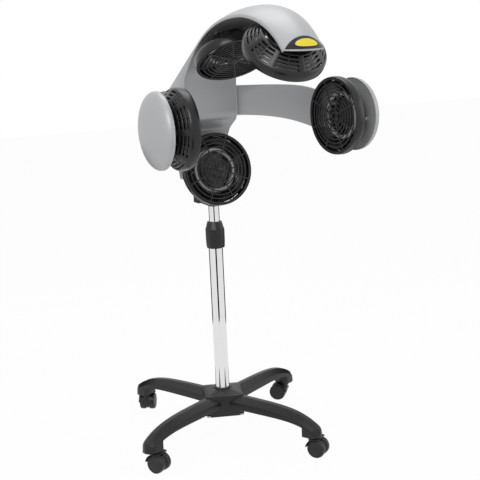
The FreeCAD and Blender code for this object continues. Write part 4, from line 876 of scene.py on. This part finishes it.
housing = piece_from("housing", *slotted_sector())
grown(housing, ring_of_copies, Count=8, Start_Angle=0.0, Material=lamp_black)
tidy_faces(made_plain(housing))
rim_face = min(housing.data.polygons, key=lambda face: abs(face.center.z - RIM_MIDDLE * MM))
if rim_face.normal.x * rim_face.center.x + rim_face.normal.y * rim_face.center.y < 0:
    housing.data.flip_normals()
walled(housing, HOUSING_WALL)
made_plain(broken_edges(housing, 0.45, 50.0), 42.0)
print("housing faces:", len(housing.data.polygons))

# %% The grille: border and hub from the lathe, web from the tree
WEB_DOME, WEB_RADIUS = 8.0, 91.6
border = piece_from("border", *lathe([(91.4, -2.9), (91.7, -3.2), (95.4, -3.2), (95.7, -2.9), (95.7, -0.9),
                                      (95.4, -0.6), (91.9, -0.6), (91.4, -1.1)]))
hub = turned("hub", [(0, -3.2), (5.6, -3.2), (6.0, -2.8), (6.0, -1.0), (5.6, -0.6), (0, -0.6)], 8)
grille = joined("grille", [tidy_faces(border), tidy_faces(hub)])
grown(grille, grille_web, Rings=7, First_Ring=18.2 * MM, Ring_Pitch=10.5 * MM, Spokes=8,
      Spoke_Turn=radians(22.5), Spoke_Start=5.0 * MM, Spoke_End=92.0 * MM, Bar=3.4 * MM, Level=-1.9 * MM,
      Material=grille_black)
for vertex in grille.data.vertices:
    share = hypot(vertex.co.x, vertex.co.y) / (WEB_RADIUS * MM)
    vertex.co.z += WEB_DOME * MM * max(0.0, 1 - share ** 2)
made_plain(grille, 50.0)
print("grille faces:", len(grille.data.polygons))

# %% The quartz ring tube with its caps and clips
RING_RADIUS, TUBE_RADIUS, TUBE_HEIGHT, TUBE_GAP, CLIPS = 56.0, 5.5, -28.3, 16.0, 3


def on_ring(angle, height):
    return Matrix.Translation((RING_RADIUS * cos(radians(angle)), RING_RADIUS * sin(radians(angle)), height))


def ring_tube():
    circle = [(RING_RADIUS + TUBE_RADIUS * cos(radians(a)), TUBE_HEIGHT + TUBE_RADIUS * sin(radians(a)))
              for a in range(0, 360, 24)]
    parts = [piece_from("tube", *lathe(circle, 96, True, TUBE_GAP / 2, FULL_TURN - TUBE_GAP))]
    for side in (1, -1):
        end = side * TUBE_GAP / 2
        parts.append(turned("cap", [(0, 0), (5.9, 0), (6.3, 0.5), (6.3, 5.4), (5.8, 6), (2.6, 6), (2.2, 5.6),
                                    (0, 5.6)], 24, on_ring(end, TUBE_HEIGHT) @ turned_by(end, "Z")
                            @ turned_by(90 * side, "X")))
    for i in range(CLIPS):
        parts.append(turned("clip", [(0, -53.6), (5, -53.6), (5, -35.5), (4.4, -33.9), (0, -33.9)], 20,
                            on_ring(60 + 360 / CLIPS * i, 0)))
    for part in parts:
        tidy_faces(part).data.materials.append(quartz if part is parts[0] else ceramic)
    return made_plain(joined("element", parts, [quartz, ceramic]), 45.0)


element = ring_tube()

# %% A dark dish behind the tube
reflector = turned("reflector", [(0, -50.5), (30, -50.0), (31, -49.2), (52, -47.0), (53, -46.2), (70, -39.6),
                                 (84, -28.6), (90.5, -21.6), (91.2, -22.0), (84.6, -29.8), (70.5, -41.0),
                                 (52.3, -48.8), (30, -51.3), (0, -51.8)])
made_plain(tidy_faces(reflector), 30.0)

# %% Place the lamps
for lamp, body in LAMP_BODY.items():
    for part, model, finish, slot in (("housing", housing, lamp_black, "gloss_black"),
                                      ("grille", grille, grille_black, "gloss_black"),
                                      ("element", element, None, "quartz"),
                                      ("reflector", reflector, dish_black, "gloss_black")):
        nodes = [lamp + "_lamp_" + part] if part != "reflector" else []
        copy = linked(lamp + "_" + part, model.data.copy())
        finished(moved(copy, LAMP_FRAMES[lamp]), finish, body, slot, *nodes)
for model in (housing, grille, element, reflector):
    bpy.data.objects.remove(model)
print("lamps placed:", len(LAMP_BODY))

# %% [markdown]
# ## Arms and side discs
# An arm is one curved band that deepens towards its disc. Its section is flat inside and full
# outside, so it is lofted along an arc. The disc is a dome turned on the lathe, with a rolled rim
# and the long knuckle of its hinge.

# %% Loft an arm
ARM_BOW, ARM_THICK, END_DROP, END_FLARE, ARM_STEPS = 28.0, 11.0, 30.0, 52.0, 28
BARREL, KNUCKLE, KNUCKLE_HALF, FORK_HEIGHT, FORK_GAP = 11.0, 6.5, 20.0, 12.0, 0.5


def pin_profile(radius, low, high, edge=0.8):
    """A pin's section from its axis outwards, with both rims broken by the edge."""
    return [(0, low), (radius - edge, low), (radius, low + edge), (radius, high - edge),
            (radius - edge, high), (0, high)]


def arm_parts():
    start, end = Vector((ARM_PIN_X, ARM_PIN_Y, 0)), Vector((DISC_PIN.x, DISC_PIN.y, 0))
    chord = end - start
    radius = (chord.length ** 2 / 4 + ARM_BOW ** 2) / (2 * ARM_BOW)
    spread, lean = asin(chord.length / 2 / radius), atan2(chord.y, chord.x)
    along = chord.normalized()
    centre = (start + end) / 2 - Vector((-along.y, along.x, 0)) * (radius - ARM_BOW)
    first, last = 0.02, 1 - (KNUCKLE + 3) / chord.length
    sections = []
    for i in range(ARM_STEPS + 1):
        share = first + (last - first) * i / ARM_STEPS
        heading = lean + spread - 2 * spread * share
        outward = Vector((-sin(heading), cos(heading), 0))
        middle = centre + outward * radius
        low, high = ARM_LOW - END_FLARE * share ** 2.6, ARM_HIGH - END_DROP * share ** 6
        ring = [middle - outward * ARM_THICK / 2 + Vector((0, 0, z)) for z in (low, high)]
        for k in range(9):
            t = k / 8
            bulge = 2.5 + 3.0 * sin(pi * t)
            ring.append(middle + outward * bulge + Vector((0, 0, high + (low - high) * t)))
        sections.append(softened(ring, 2.2, (0, 1, 2, 10), 3))
    parts = [piece_from("band", *loft(sections)),
             turned("barrel", pin_profile(BARREL, ARM_LOW, ARM_HIGH, 1), 48, Matrix.Translation(start))]
    reach = KNUCKLE_HALF + FORK_GAP
    for z in (DISC_PIN.z + reach, DISC_PIN.z - reach - FORK_HEIGHT):
        place = Matrix.Translation(end)
        parts.append(turned("eye", pin_profile(KNUCKLE, z, z + FORK_HEIGHT), 40, place))
        parts.append(boxed("tie", -KNUCKLE - 6, 0, -4, 4, z, z + FORK_HEIGHT, 0.8,
                           place @ Matrix.Rotation(lean - spread, 4, "Z")))
    return parts


for name, side in (("right", 1), ("left", -1)):
    parts = arm_parts()
    for part in parts:
        if side < 0:
            part.data.transform(Matrix.Scale(-1, 4, (1, 0, 0)))
        tidy_faces(part)
    band = made_plain(joined(name + "_arm_band", parts), 40.0)
    finished(band, silver, name + "_swing_arm", "silver_plastic", name + "_arm")
print("arms made")

# %% Turn a side disc and its plate
DISC_FACE, DISC_RADIUS, DISC_RISE, DISC_WALL, DISC_STEPS = 65.0, 94.0, 34.0, 3.0, 128


def quarter(inset, base, angles):
    """Points of the dome's section, set in by the inset."""
    radius, rise = DISC_RADIUS - inset, DISC_RISE - inset
    return [(radius * cos(radians(a)), base - rise * sin(radians(a))) for a in angles]


def disc_parts():
    base, rim, depth = -DISC_FACE - 2, -DISC_FACE + 2, DISC_FACE - 6
    profile = [(0, base - DISC_RISE)] + quarter(0, base, range(85, -1, -5))
    profile += [(DISC_RADIUS, rim - 1), (DISC_RADIUS - 0.7, rim), (DISC_RADIUS - DISC_WALL + 0.7, rim),
                (DISC_RADIUS - DISC_WALL, rim - 1)]
    profile += quarter(DISC_WALL, base, range(0, 86, 5)) + [(0, base - DISC_RISE + DISC_WALL)]
    reach = DISC_RADIUS + KNUCKLE + 1.5
    place = Matrix.Translation((0, reach, -depth)) @ turned_by(90, "Y")
    return [turned("dome", profile, DISC_STEPS),
            turned("hinge", pin_profile(KNUCKLE, -KNUCKLE_HALF, KNUCKLE_HALF), 40, place),
            boxed("web", -KNUCKLE_HALF, KNUCKLE_HALF, DISC_RADIUS - 4, reach, -DISC_FACE - 4, -depth + 2)]


def plate_parts():
    """A flat plate with a rolled edge and a low stiffening ring."""
    top, low = -DISC_FACE, -DISC_FACE - 3
    profile = [(0, low), (90.2, low), (90.7, low + 0.5), (90.7, top - 0.6), (90.1, top), (86.0, top),
               (85.2, top - 0.7), (0, top - 0.7)]
    return [turned("plate", profile, DISC_STEPS)]


for lamp in ("right", "left"):
    for name, parts, node in (("_disc_dome", disc_parts(), "_disc"),
                              ("_disc_plate_dressed", plate_parts(), "_disc_plate")):
        parts = [moved(tidy_faces(part), LAMP_FRAMES[lamp]) for part in parts]
        whole = made_plain(joined(lamp + name, parts), 40.0)
        finished(whole, silver, LAMP_BODY[lamp], "silver_plastic", lamp + node)
print("discs turned")

# %% [markdown]
# ## The base
# Four arched legs run from a chamfered hub. Each leg has a flat ridge, two sloped flanks and
# upright sides, and ends in a half round over its caster. The facets have to stay crisp, so the
# legs are lofted from six-cornered sections and their edges get a fine bevel that catches light.

# %% Loft the legs and the hub
LEG_HEADING, LEG_REACH, LEG_TIP, CASTER_REACH = 27.0, 336.0, 23.0, 306.0
LEG_END, FOOT_START = LEG_REACH - LEG_TIP, LEG_REACH - 2 * LEG_TIP
ROOT_TOP, LEG_FALL, LEG_UNDER, UNDER_FALL, FOOT_BOTTOM = 124.0, 46.0, 92.0, 10.0, 56.0
ROOT_WIDTH, TIP_WIDTH, RIDGE_HALF, LEG_SHOULDER = 66.0, 46.0, 7.0, 13.0
HUB_HALF, HUB_CHAMFER, HUB_BOTTOM, HUB_TURN = 56.0, 16.0, 66.2, LEG_HEADING + 45


def leg_section(r, half, ridge):
    """Six corners across a leg: upright sides, two flanks and a narrow ridge."""
    top = ROOT_TOP - LEG_FALL * (r / LEG_REACH) ** 6
    low = FOOT_BOTTOM if r > FOOT_START else LEG_UNDER - UNDER_FALL * abs(2 * r / FOOT_START - 1) ** 4
    slim = min(1.5, half * 0.2)
    edge = max(low + 2, top - LEG_SHOULDER)
    return [(r, -half, low), (r, half, low), (r, half - slim, edge), (r, ridge, top), (r, -ridge, top),
            (r, -half + slim, edge)]


def leg_half(r):
    return (ROOT_WIDTH + (TIP_WIDTH - ROOT_WIDTH) * (r / LEG_REACH)) / 2


def leg_mesh():
    stations = (20, 50, 80, 110, 140, 170, 200, 222, 242, 258, 270, 280, 289.8, 290.2, 296, 302, 308, LEG_END)
    sections = [leg_section(r, leg_half(r), RIDGE_HALF) for r in stations]
    for swing in (12, 24, 36, 48, 58, 68, 77, 84):
        half = leg_half(LEG_END) * cos(radians(swing))
        r = LEG_END + LEG_TIP * sin(radians(swing))
        sections.append(leg_section(r, half, min(RIDGE_HALF, half * 0.5)))
    return loft(sections)


def hub_outline(z):
    points, near = [], HUB_HALF - HUB_CHAMFER
    for sx, sy in ((1, 1), (-1, 1), (-1, -1), (1, -1)):
        corner = [(sx * HUB_HALF, sy * near, z), (sx * near, sy * HUB_HALF, z)]
        points += corner if sx * sy > 0 else corner[::-1]
    return points


base_parts = [piece_from("leg", *leg_mesh(), place=turned_by(LEG_HEADING + 90 * i, "Z")) for i in range(4)]
base_parts.append(piece_from("hub_block", *loft([hub_outline(z) for z in (HUB_BOTTOM, ROOT_TOP - 0.1)]),
                             place=turned_by(HUB_TURN, "Z")))
for part in base_parts:
    made_plain(broken_edges(tidy_faces(part), 2.2, 12.0, 3), 60.0)
finished(joined("base_moulding", base_parts), base_black, "base", "black_plastic", "base_legs")
print("legs and hub lofted")

# %% The hub's cover
SQUARE_POWER, ROUND_POWER, COVER_POINTS = 40.0, 2.0, 64


def cover_section(z, half, roundness):
    """A square section whose corners round off as the roundness grows to 1."""
    points, power = [], SQUARE_POWER - (SQUARE_POWER - ROUND_POWER) * roundness
    for i in range(COVER_POINTS):
        a = 2 * pi * (i + 0.5) / COVER_POINTS
        reach = half / (abs(cos(a)) ** power + abs(sin(a)) ** power) ** (1 / power)
        points.append((reach * cos(a), reach * sin(a), z))
    return points


square_levels = [(124.1, 53.2), (124.5, 54.0), (126.6, 54.0), (127.2, 53.0), (130.6, 42.2), (134.0, 31.4),
                 (135.9, 25.6)]
round_levels = [(136.4, 25.2), (138.6, 25.0), (139.6, 24.6), (140.0, 23.8), (140.0, 20.6), (139.2, 20.4),
                (136.0, 20.4)]
cover = [cover_section(*level, 0.0) for level in square_levels]
cover += [cover_section(*level, 1.0) for level in round_levels]
hub_cap = tidy_faces(piece_from("hub_cap", *loft(cover, caps=False), place=turned_by(HUB_TURN, "Z")))
face_up(hub_cap, 1)
finished(made_plain(hub_cap, 40.0), base_black, "base", "black_plastic", "hub_cover")

# %% [markdown]
# ## Casters
# Each caster has two wheels on one axle under a hood. A wheel is a lathe piece with a crowned
# tread and a smooth cover over the axle's end, and a narrow groove round the cover catches light.

# %% Turn the wheels
WHEEL_R, WHEEL_WIDTH, WEB_HALF, TRAIL = 25.0, 17.0, 5.5, 19.0
CASTERS = {"a": (1, 238), "b": (2, 120), "c": (3, 126), "d": (0, 320)}


def caster_place(key):
    leg, swivel = CASTERS[key]
    spot = turned_by(LEG_HEADING + 90 * leg, "Z") @ Vector((CASTER_REACH, 0, 0))
    return Matrix.Translation(spot) @ turned_by(swivel, "Z")


def wheel_pair():
    half = WHEEL_WIDTH / 2
    tread = [(3.2, -half), (1.2, -half + 0.7), (0.3, -half + 2.2), (0, -half + 4.5), (0, 2.5), (0.4, 5.0),
             (1.2, 7.0), (2.4, half - 0.2), (4.4, half), (5.0, half - 0.8), (6.4, half - 0.8),
             (7.0, half - 0.1)]
    profile = [(3.1, -half)] + [(WHEEL_R - inset, z) for inset, z in tread]
    profile += [(9.0, half + 0.3), (0, half + 0.4)]
    parts = []
    for side in (1, -1):
        place = Matrix.Translation((-TRAIL, side * (WEB_HALF + half), WHEEL_R)) @ turned_by(-90 * side, "X")
        parts.append(moved(tidy_faces(turned("wheel", profile, 72)), place))
    return made_plain(joined("wheel_pair", parts), 40.0)


wheels = wheel_pair()
for key in CASTERS:
    pair = moved(linked("wheel_pair_" + key, wheels.data.copy()), caster_place(key))
    finished(pair, tyre_black, "wheels_" + key, "wheel_black", "caster_wheels_" + key)
    hood = "caster_hood_" + key
    finished(finer_copy(hood, 0.9), base_black, "caster_" + key, "black_plastic", hood)
bpy.data.objects.remove(wheels)
print("casters dressed:", len(CASTERS))

# %% [markdown]
# ## The pole
# Two chromed tubes and a black grip that locks them. The tubes are plain lathe pieces with many
# steps, because a mirror shows every facet. The grip is turned with ten steps, so its sides are flat.

# %% Turn the tubes
TUBE_WALL = 2.0


def tube(node, outer, bottom, top, body):
    profile = [(outer, bottom + 0.4), (outer - 0.4, bottom), (outer - TUBE_WALL, bottom),
               (outer - TUBE_WALL, top), (outer - 0.5, top), (outer, top - 0.5)]
    piece = tidy_faces(piece_from(node + "_chromed", *lathe(profile, 128)))
    finished(made_plain(piece, 30.0), chrome, body, "chrome", node)


tube("lower_tube", 20.0, 70.0, 600.0, "base")
tube("upper_tube", 15.0, 165.0, 670.0, "mast")

# %% The lock grip
grip_profile = [(21.4, 551.0), (24.5, 551.0), (25.5, 552.0), (26.5, 556.0), (27.4, 575.0), (27.4, 603.0),
                (27.0, 605.5), (25.4, 609.0), (20.9, 625.2), (20.2, 626.0), (16.2, 626.0), (16.2, 621.0),
                (18.4, 620.5), (21.4, 604.3)]
lock_grip = broken_edges(tidy_faces(piece_from("lock_grip", *lathe(grip_profile, 10))), 1.1, 15.0, 3)
finished(made_plain(lock_grip, 30.0), lamp_black, "collar", "black_plastic", "lock_collar")
print("pole finished")

# %% [markdown]
# ## Bracket and controls
# The bracket, its clamping knob and the controls on the back keep the shapes of their solids.
# A welded copy with broken edges is enough: a machined or moulded edge is never perfectly sharp,
# and that small bevel is what makes it read as a real part.

# %% Break the edges of the smaller parts
for node, body, finish, slot, width in (
        ("elbow", "bracket", bracket_black, "bracket_black", 0.8),
        ("tilt_lug", "head", bracket_black, "bracket_black", 0.7),
        ("tilt_knob", "clamp_knob", base_black, "black_plastic", 0.7),
        ("control_panel", "head", panel_grey, "panel_grey", 0.6),
        ("power_inlet", "head", base_black, "black_plastic", 0.25),
        ("timer_knob", "timer_dial", base_black, "black_plastic", 0.5),
        ("power_rocker", "rocker", base_black, "black_plastic", 0.4)):
    finished(finer_copy(node, width), finish, body, slot, node)
print("edges broken")


# %% Tree: screws on points
def build_screws():
    """A screw head on every point of the mesh, turned to the point's own facing."""
    tree, given, out = growth_tree("screws", [("Screw", "NodeSocketObject")])
    screw = add_node(tree, "GeometryNodeObjectInfo")
    facing = add_node(tree, "GeometryNodeInputNamedAttribute", "facing", {"Name": "facing"},
                      data_type="FLOAT_VECTOR")
    turn = add_node(tree, "FunctionNodeAlignRotationToVector", axis="Z")
    place = add_node(tree, "GeometryNodeInstanceOnPoints")
    realize = add_node(tree, "GeometryNodeRealizeInstances")
    wire(tree, (given, "Screw", screw, "Object"), (facing, "Attribute", turn, "Vector"),
         (given, GEOMETRY, place, "Points"), (screw, GEOMETRY, place, "Instance"),
         (turn, "Rotation", place, "Rotation"), (place, "Instances", realize, GEOMETRY))
    return painted(tree, given, out, realize)


def cross_head():
    """A low domed head with a cross-shaped recess."""
    dome = [(0, 1.3), (1.2, 1.28), (2.2, 1.0), (2.8, 0.5), (3.0, 0.0), (3.0, -0.4)]
    head = tidy_faces(turned("cross_head", dome, 24))
    cut_windows(head, [boxed("bar", -1.5, 1.5, -0.28, 0.28, 0.5, 2.0, 0.05, turned_by(turn, "Z"))
                       for turn in (0, 90)])
    return made_plain(head, 35.0)


def set_screws(name, spots, way, body):
    points = piece_from(name, spots, [])
    facing = points.data.attributes.new("facing", "FLOAT_VECTOR", "POINT")
    for item in facing.data:
        item.vector = way
    grown(points, screws, Screw=screw_model, Material=steel)
    finished(made_plain(points, 35.0), steel, body, "steel")


SCREW_CIRCLE, HUB_UNDERSIDE, PANEL_FACE = 38.0, 66.0, 119.0
screws, screw_model = build_screws(), cross_head()
set_screws("panel_screws", [(x, PANEL_FACE, z) for x in (-40, 40) for z in (777, 927)], (0, 1, 0), "head")
set_screws("hub_screws", [turned_by(HUB_TURN + 90 * i, "Z") @ Vector((SCREW_CIRCLE, 0, HUB_UNDERSIDE))
                          for i in range(4)], (0, 0, -1), "base")
bpy.data.objects.remove(screw_model)
print("screws set")

# %% Marks of the dial
tick = boxed("dial_marks", 24.0, 28.0, -0.45, 0.45, 0.0, 0.25, 0.1)
grown(tick, ring_of_copies, Count=12, Start_Angle=0.0, Material=print_white)
moved(made_plain(tick), Matrix.Translation((0, PANEL_FACE, 892)) @ turned_by(-90, "X"))
finished(tick, print_white, "head", "silver_plastic")

# %% [markdown]
# ## Finishes of the nodes that stay
# Pins, posts, stems and the plates of the tip keep their own meshes: their shapes are already
# right, so only their material slots are filled.

# %% Fill their material slots
KEPT = {steel: ["hub_plate", "tilt_pin", "arm_pins", "right_disc_pin", "left_disc_pin"]
        + ["caster_steel_" + key for key in CASTERS],
        base_black: ["collar_sleeve", "tube_glide", "timer_unit"],
        lamp_black: ["tip_panel"],
        badge_yellow: ["tip_badge"],
        post_silver: ["lamp_posts", "right_lamp_posts", "left_lamp_posts"]}
for finish, nodes in KEPT.items():
    for node in nodes:
        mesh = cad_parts[node].data
        mesh.materials.clear()
        mesh.materials.append(finish)
        shaded(mesh)
print("nodes that stay:", sum(len(nodes) for nodes in KEPT.values()))

# %% [markdown]
# ## Stage, light and camera
# The object stands on a pale floor under plain soft light, as on a product page. Chrome and gloss
# only look like themselves when they have something to mirror, so three dark cards stand round the
# stage, out of view. They belong to the stage and not to the object.

# %% Floor and cards
def seen_directly(tree):
    """A node that gives 1 to rays of the camera, of a mirror and through glass, and else 0."""
    path = add_node(tree, "ShaderNodeLightPath")
    mirror, seen = math_nodes(tree, "MAXIMUM", "MAXIMUM")
    wire(tree, (path, "Is Glossy Ray", mirror, 0), (path, "Is Transmission Ray", mirror, 1),
         (path, "Is Camera Ray", seen, 0), (mirror, "Value", seen, 1))
    return seen


def stage_sheet(name, corners, color, camera_white=0.0):
    """A flat sheet of the stage; camera_white is how much of it is plain white when seen."""
    sheet = piece_from(name, corners, [(0, 1, 2, 3)])
    material, principled = bare_material(name)
    set_sockets(principled, Base_Color=color + (1,), Roughness=0.9, Specular_IOR_Level=0.0)
    if camera_white:
        tree = material.node_tree
        part, = math_nodes(tree, "MULTIPLY")
        part.inputs[1].default_value = camera_white
        glow = add_node(tree, "ShaderNodeEmission", "white", {"Strength": 1.0})
        mix = add_node(tree, "ShaderNodeMixShader")
        wire(tree, (seen_directly(tree), "Value", part, 0), (part, "Value", mix, "Fac"),
             (principled, "BSDF", mix, 1), (glow, "Emission", mix, 2),
             (mix, "Shader", tree.nodes["Material Output"], "Surface"))
    sheet.data.materials.append(material)
    return sheet


def dark_card(name, middle, half_turn, color):
    """An upright card on a circle round the pole, seen only in reflections."""
    ends = [turned_by(a, "Z") @ Vector((CARD_CIRCLE, 0, 5)) for a in (middle - half_turn, middle + half_turn)]
    lift = Vector((0, 0, CARD_HEIGHT))
    card = stage_sheet(name, [ends[0], ends[1], ends[1] + lift, ends[0] + lift], color)
    card.visible_camera = False
    card.visible_diffuse = False
    card.visible_shadow = False


CAMERA_SPOT = Vector((-1.09774, -2.51401, 1.15954))
VIEW_SIDE = degrees(atan2(CAMERA_SPOT.y, CAMERA_SPOT.x))
FLOOR_HALF, CARD_CIRCLE, CARD_HEIGHT = 9000, 1150, 620
floor_corners = [(x * FLOOR_HALF, y * FLOOR_HALF, 0) for x, y in ((-1, -1), (1, -1), (1, 1), (-1, 1))]
stage_sheet("floor", floor_corners, (0.9, 0.9, 0.9), 0.965)
dark_card("middle_card", VIEW_SIDE, 11, (0.004, 0.004, 0.004))
dark_card("left_card", VIEW_SIDE - 140, 22, (0.06, 0.055, 0.05))
dark_card("right_card", VIEW_SIDE + 140, 22, (0.06, 0.055, 0.05))


# %% World and lamps
def soft_light(name, place, aim, size, power):
    light = bpy.data.lights.new(name, "AREA")
    light.size = size
    light.energy = power
    lamp = linked(name, light)
    lamp.location = place
    lamp.rotation_euler = (Vector(aim) - Vector(place)).to_track_quat("-Z", "Y").to_euler()


world = bpy.data.worlds.new("studio")
world.use_nodes = True
bpy.context.scene.world = world
sky = world.node_tree
room = set_sockets(sky.nodes["Background"], Color=(1, 1, 1, 1), Strength=0.46)
white = add_node(sky, "ShaderNodeBackground", "white backdrop", {"Color": (1, 1, 1, 1), "Strength": 1.0})
choose = add_node(sky, "ShaderNodeMixShader")
wire(sky, (seen_directly(sky), "Value", choose, "Fac"), (room, "Background", choose, 1),
     (white, "Background", choose, 2), (choose, "Shader", sky.nodes["World Output"], "Surface"))
soft_light("key", (-1.9, -2.3, 2.6), (0, -0.15, 0.85), 1.6, 38)
soft_light("fill", (2.4, -1.6, 1.5), (0, -0.15, 0.8), 1.8, 12)
soft_light("top", (0.2, 0.4, 3.0), (0, -0.2, 0.9), 1.6, 18)
print("light set")

# %% Camera
forward = Vector((0.41360, 0.88574, -0.21069)).normalized()
right = Vector((0.90132, -0.43104, -0.04272))
right = (right - forward * right.dot(forward)).normalized()
camera_data = bpy.data.cameras.new("view")
camera_data.lens = 75.0
camera_data.sensor_width = 36.0
camera = linked("view", camera_data)
turn = Matrix((right, right.cross(forward), -forward)).transposed().to_4x4()
camera.matrix_world = Matrix.Translation(CAMERA_SPOT) @ turn
bpy.context.scene.camera = camera
bpy.context.scene.view_settings.view_transform = "Standard"
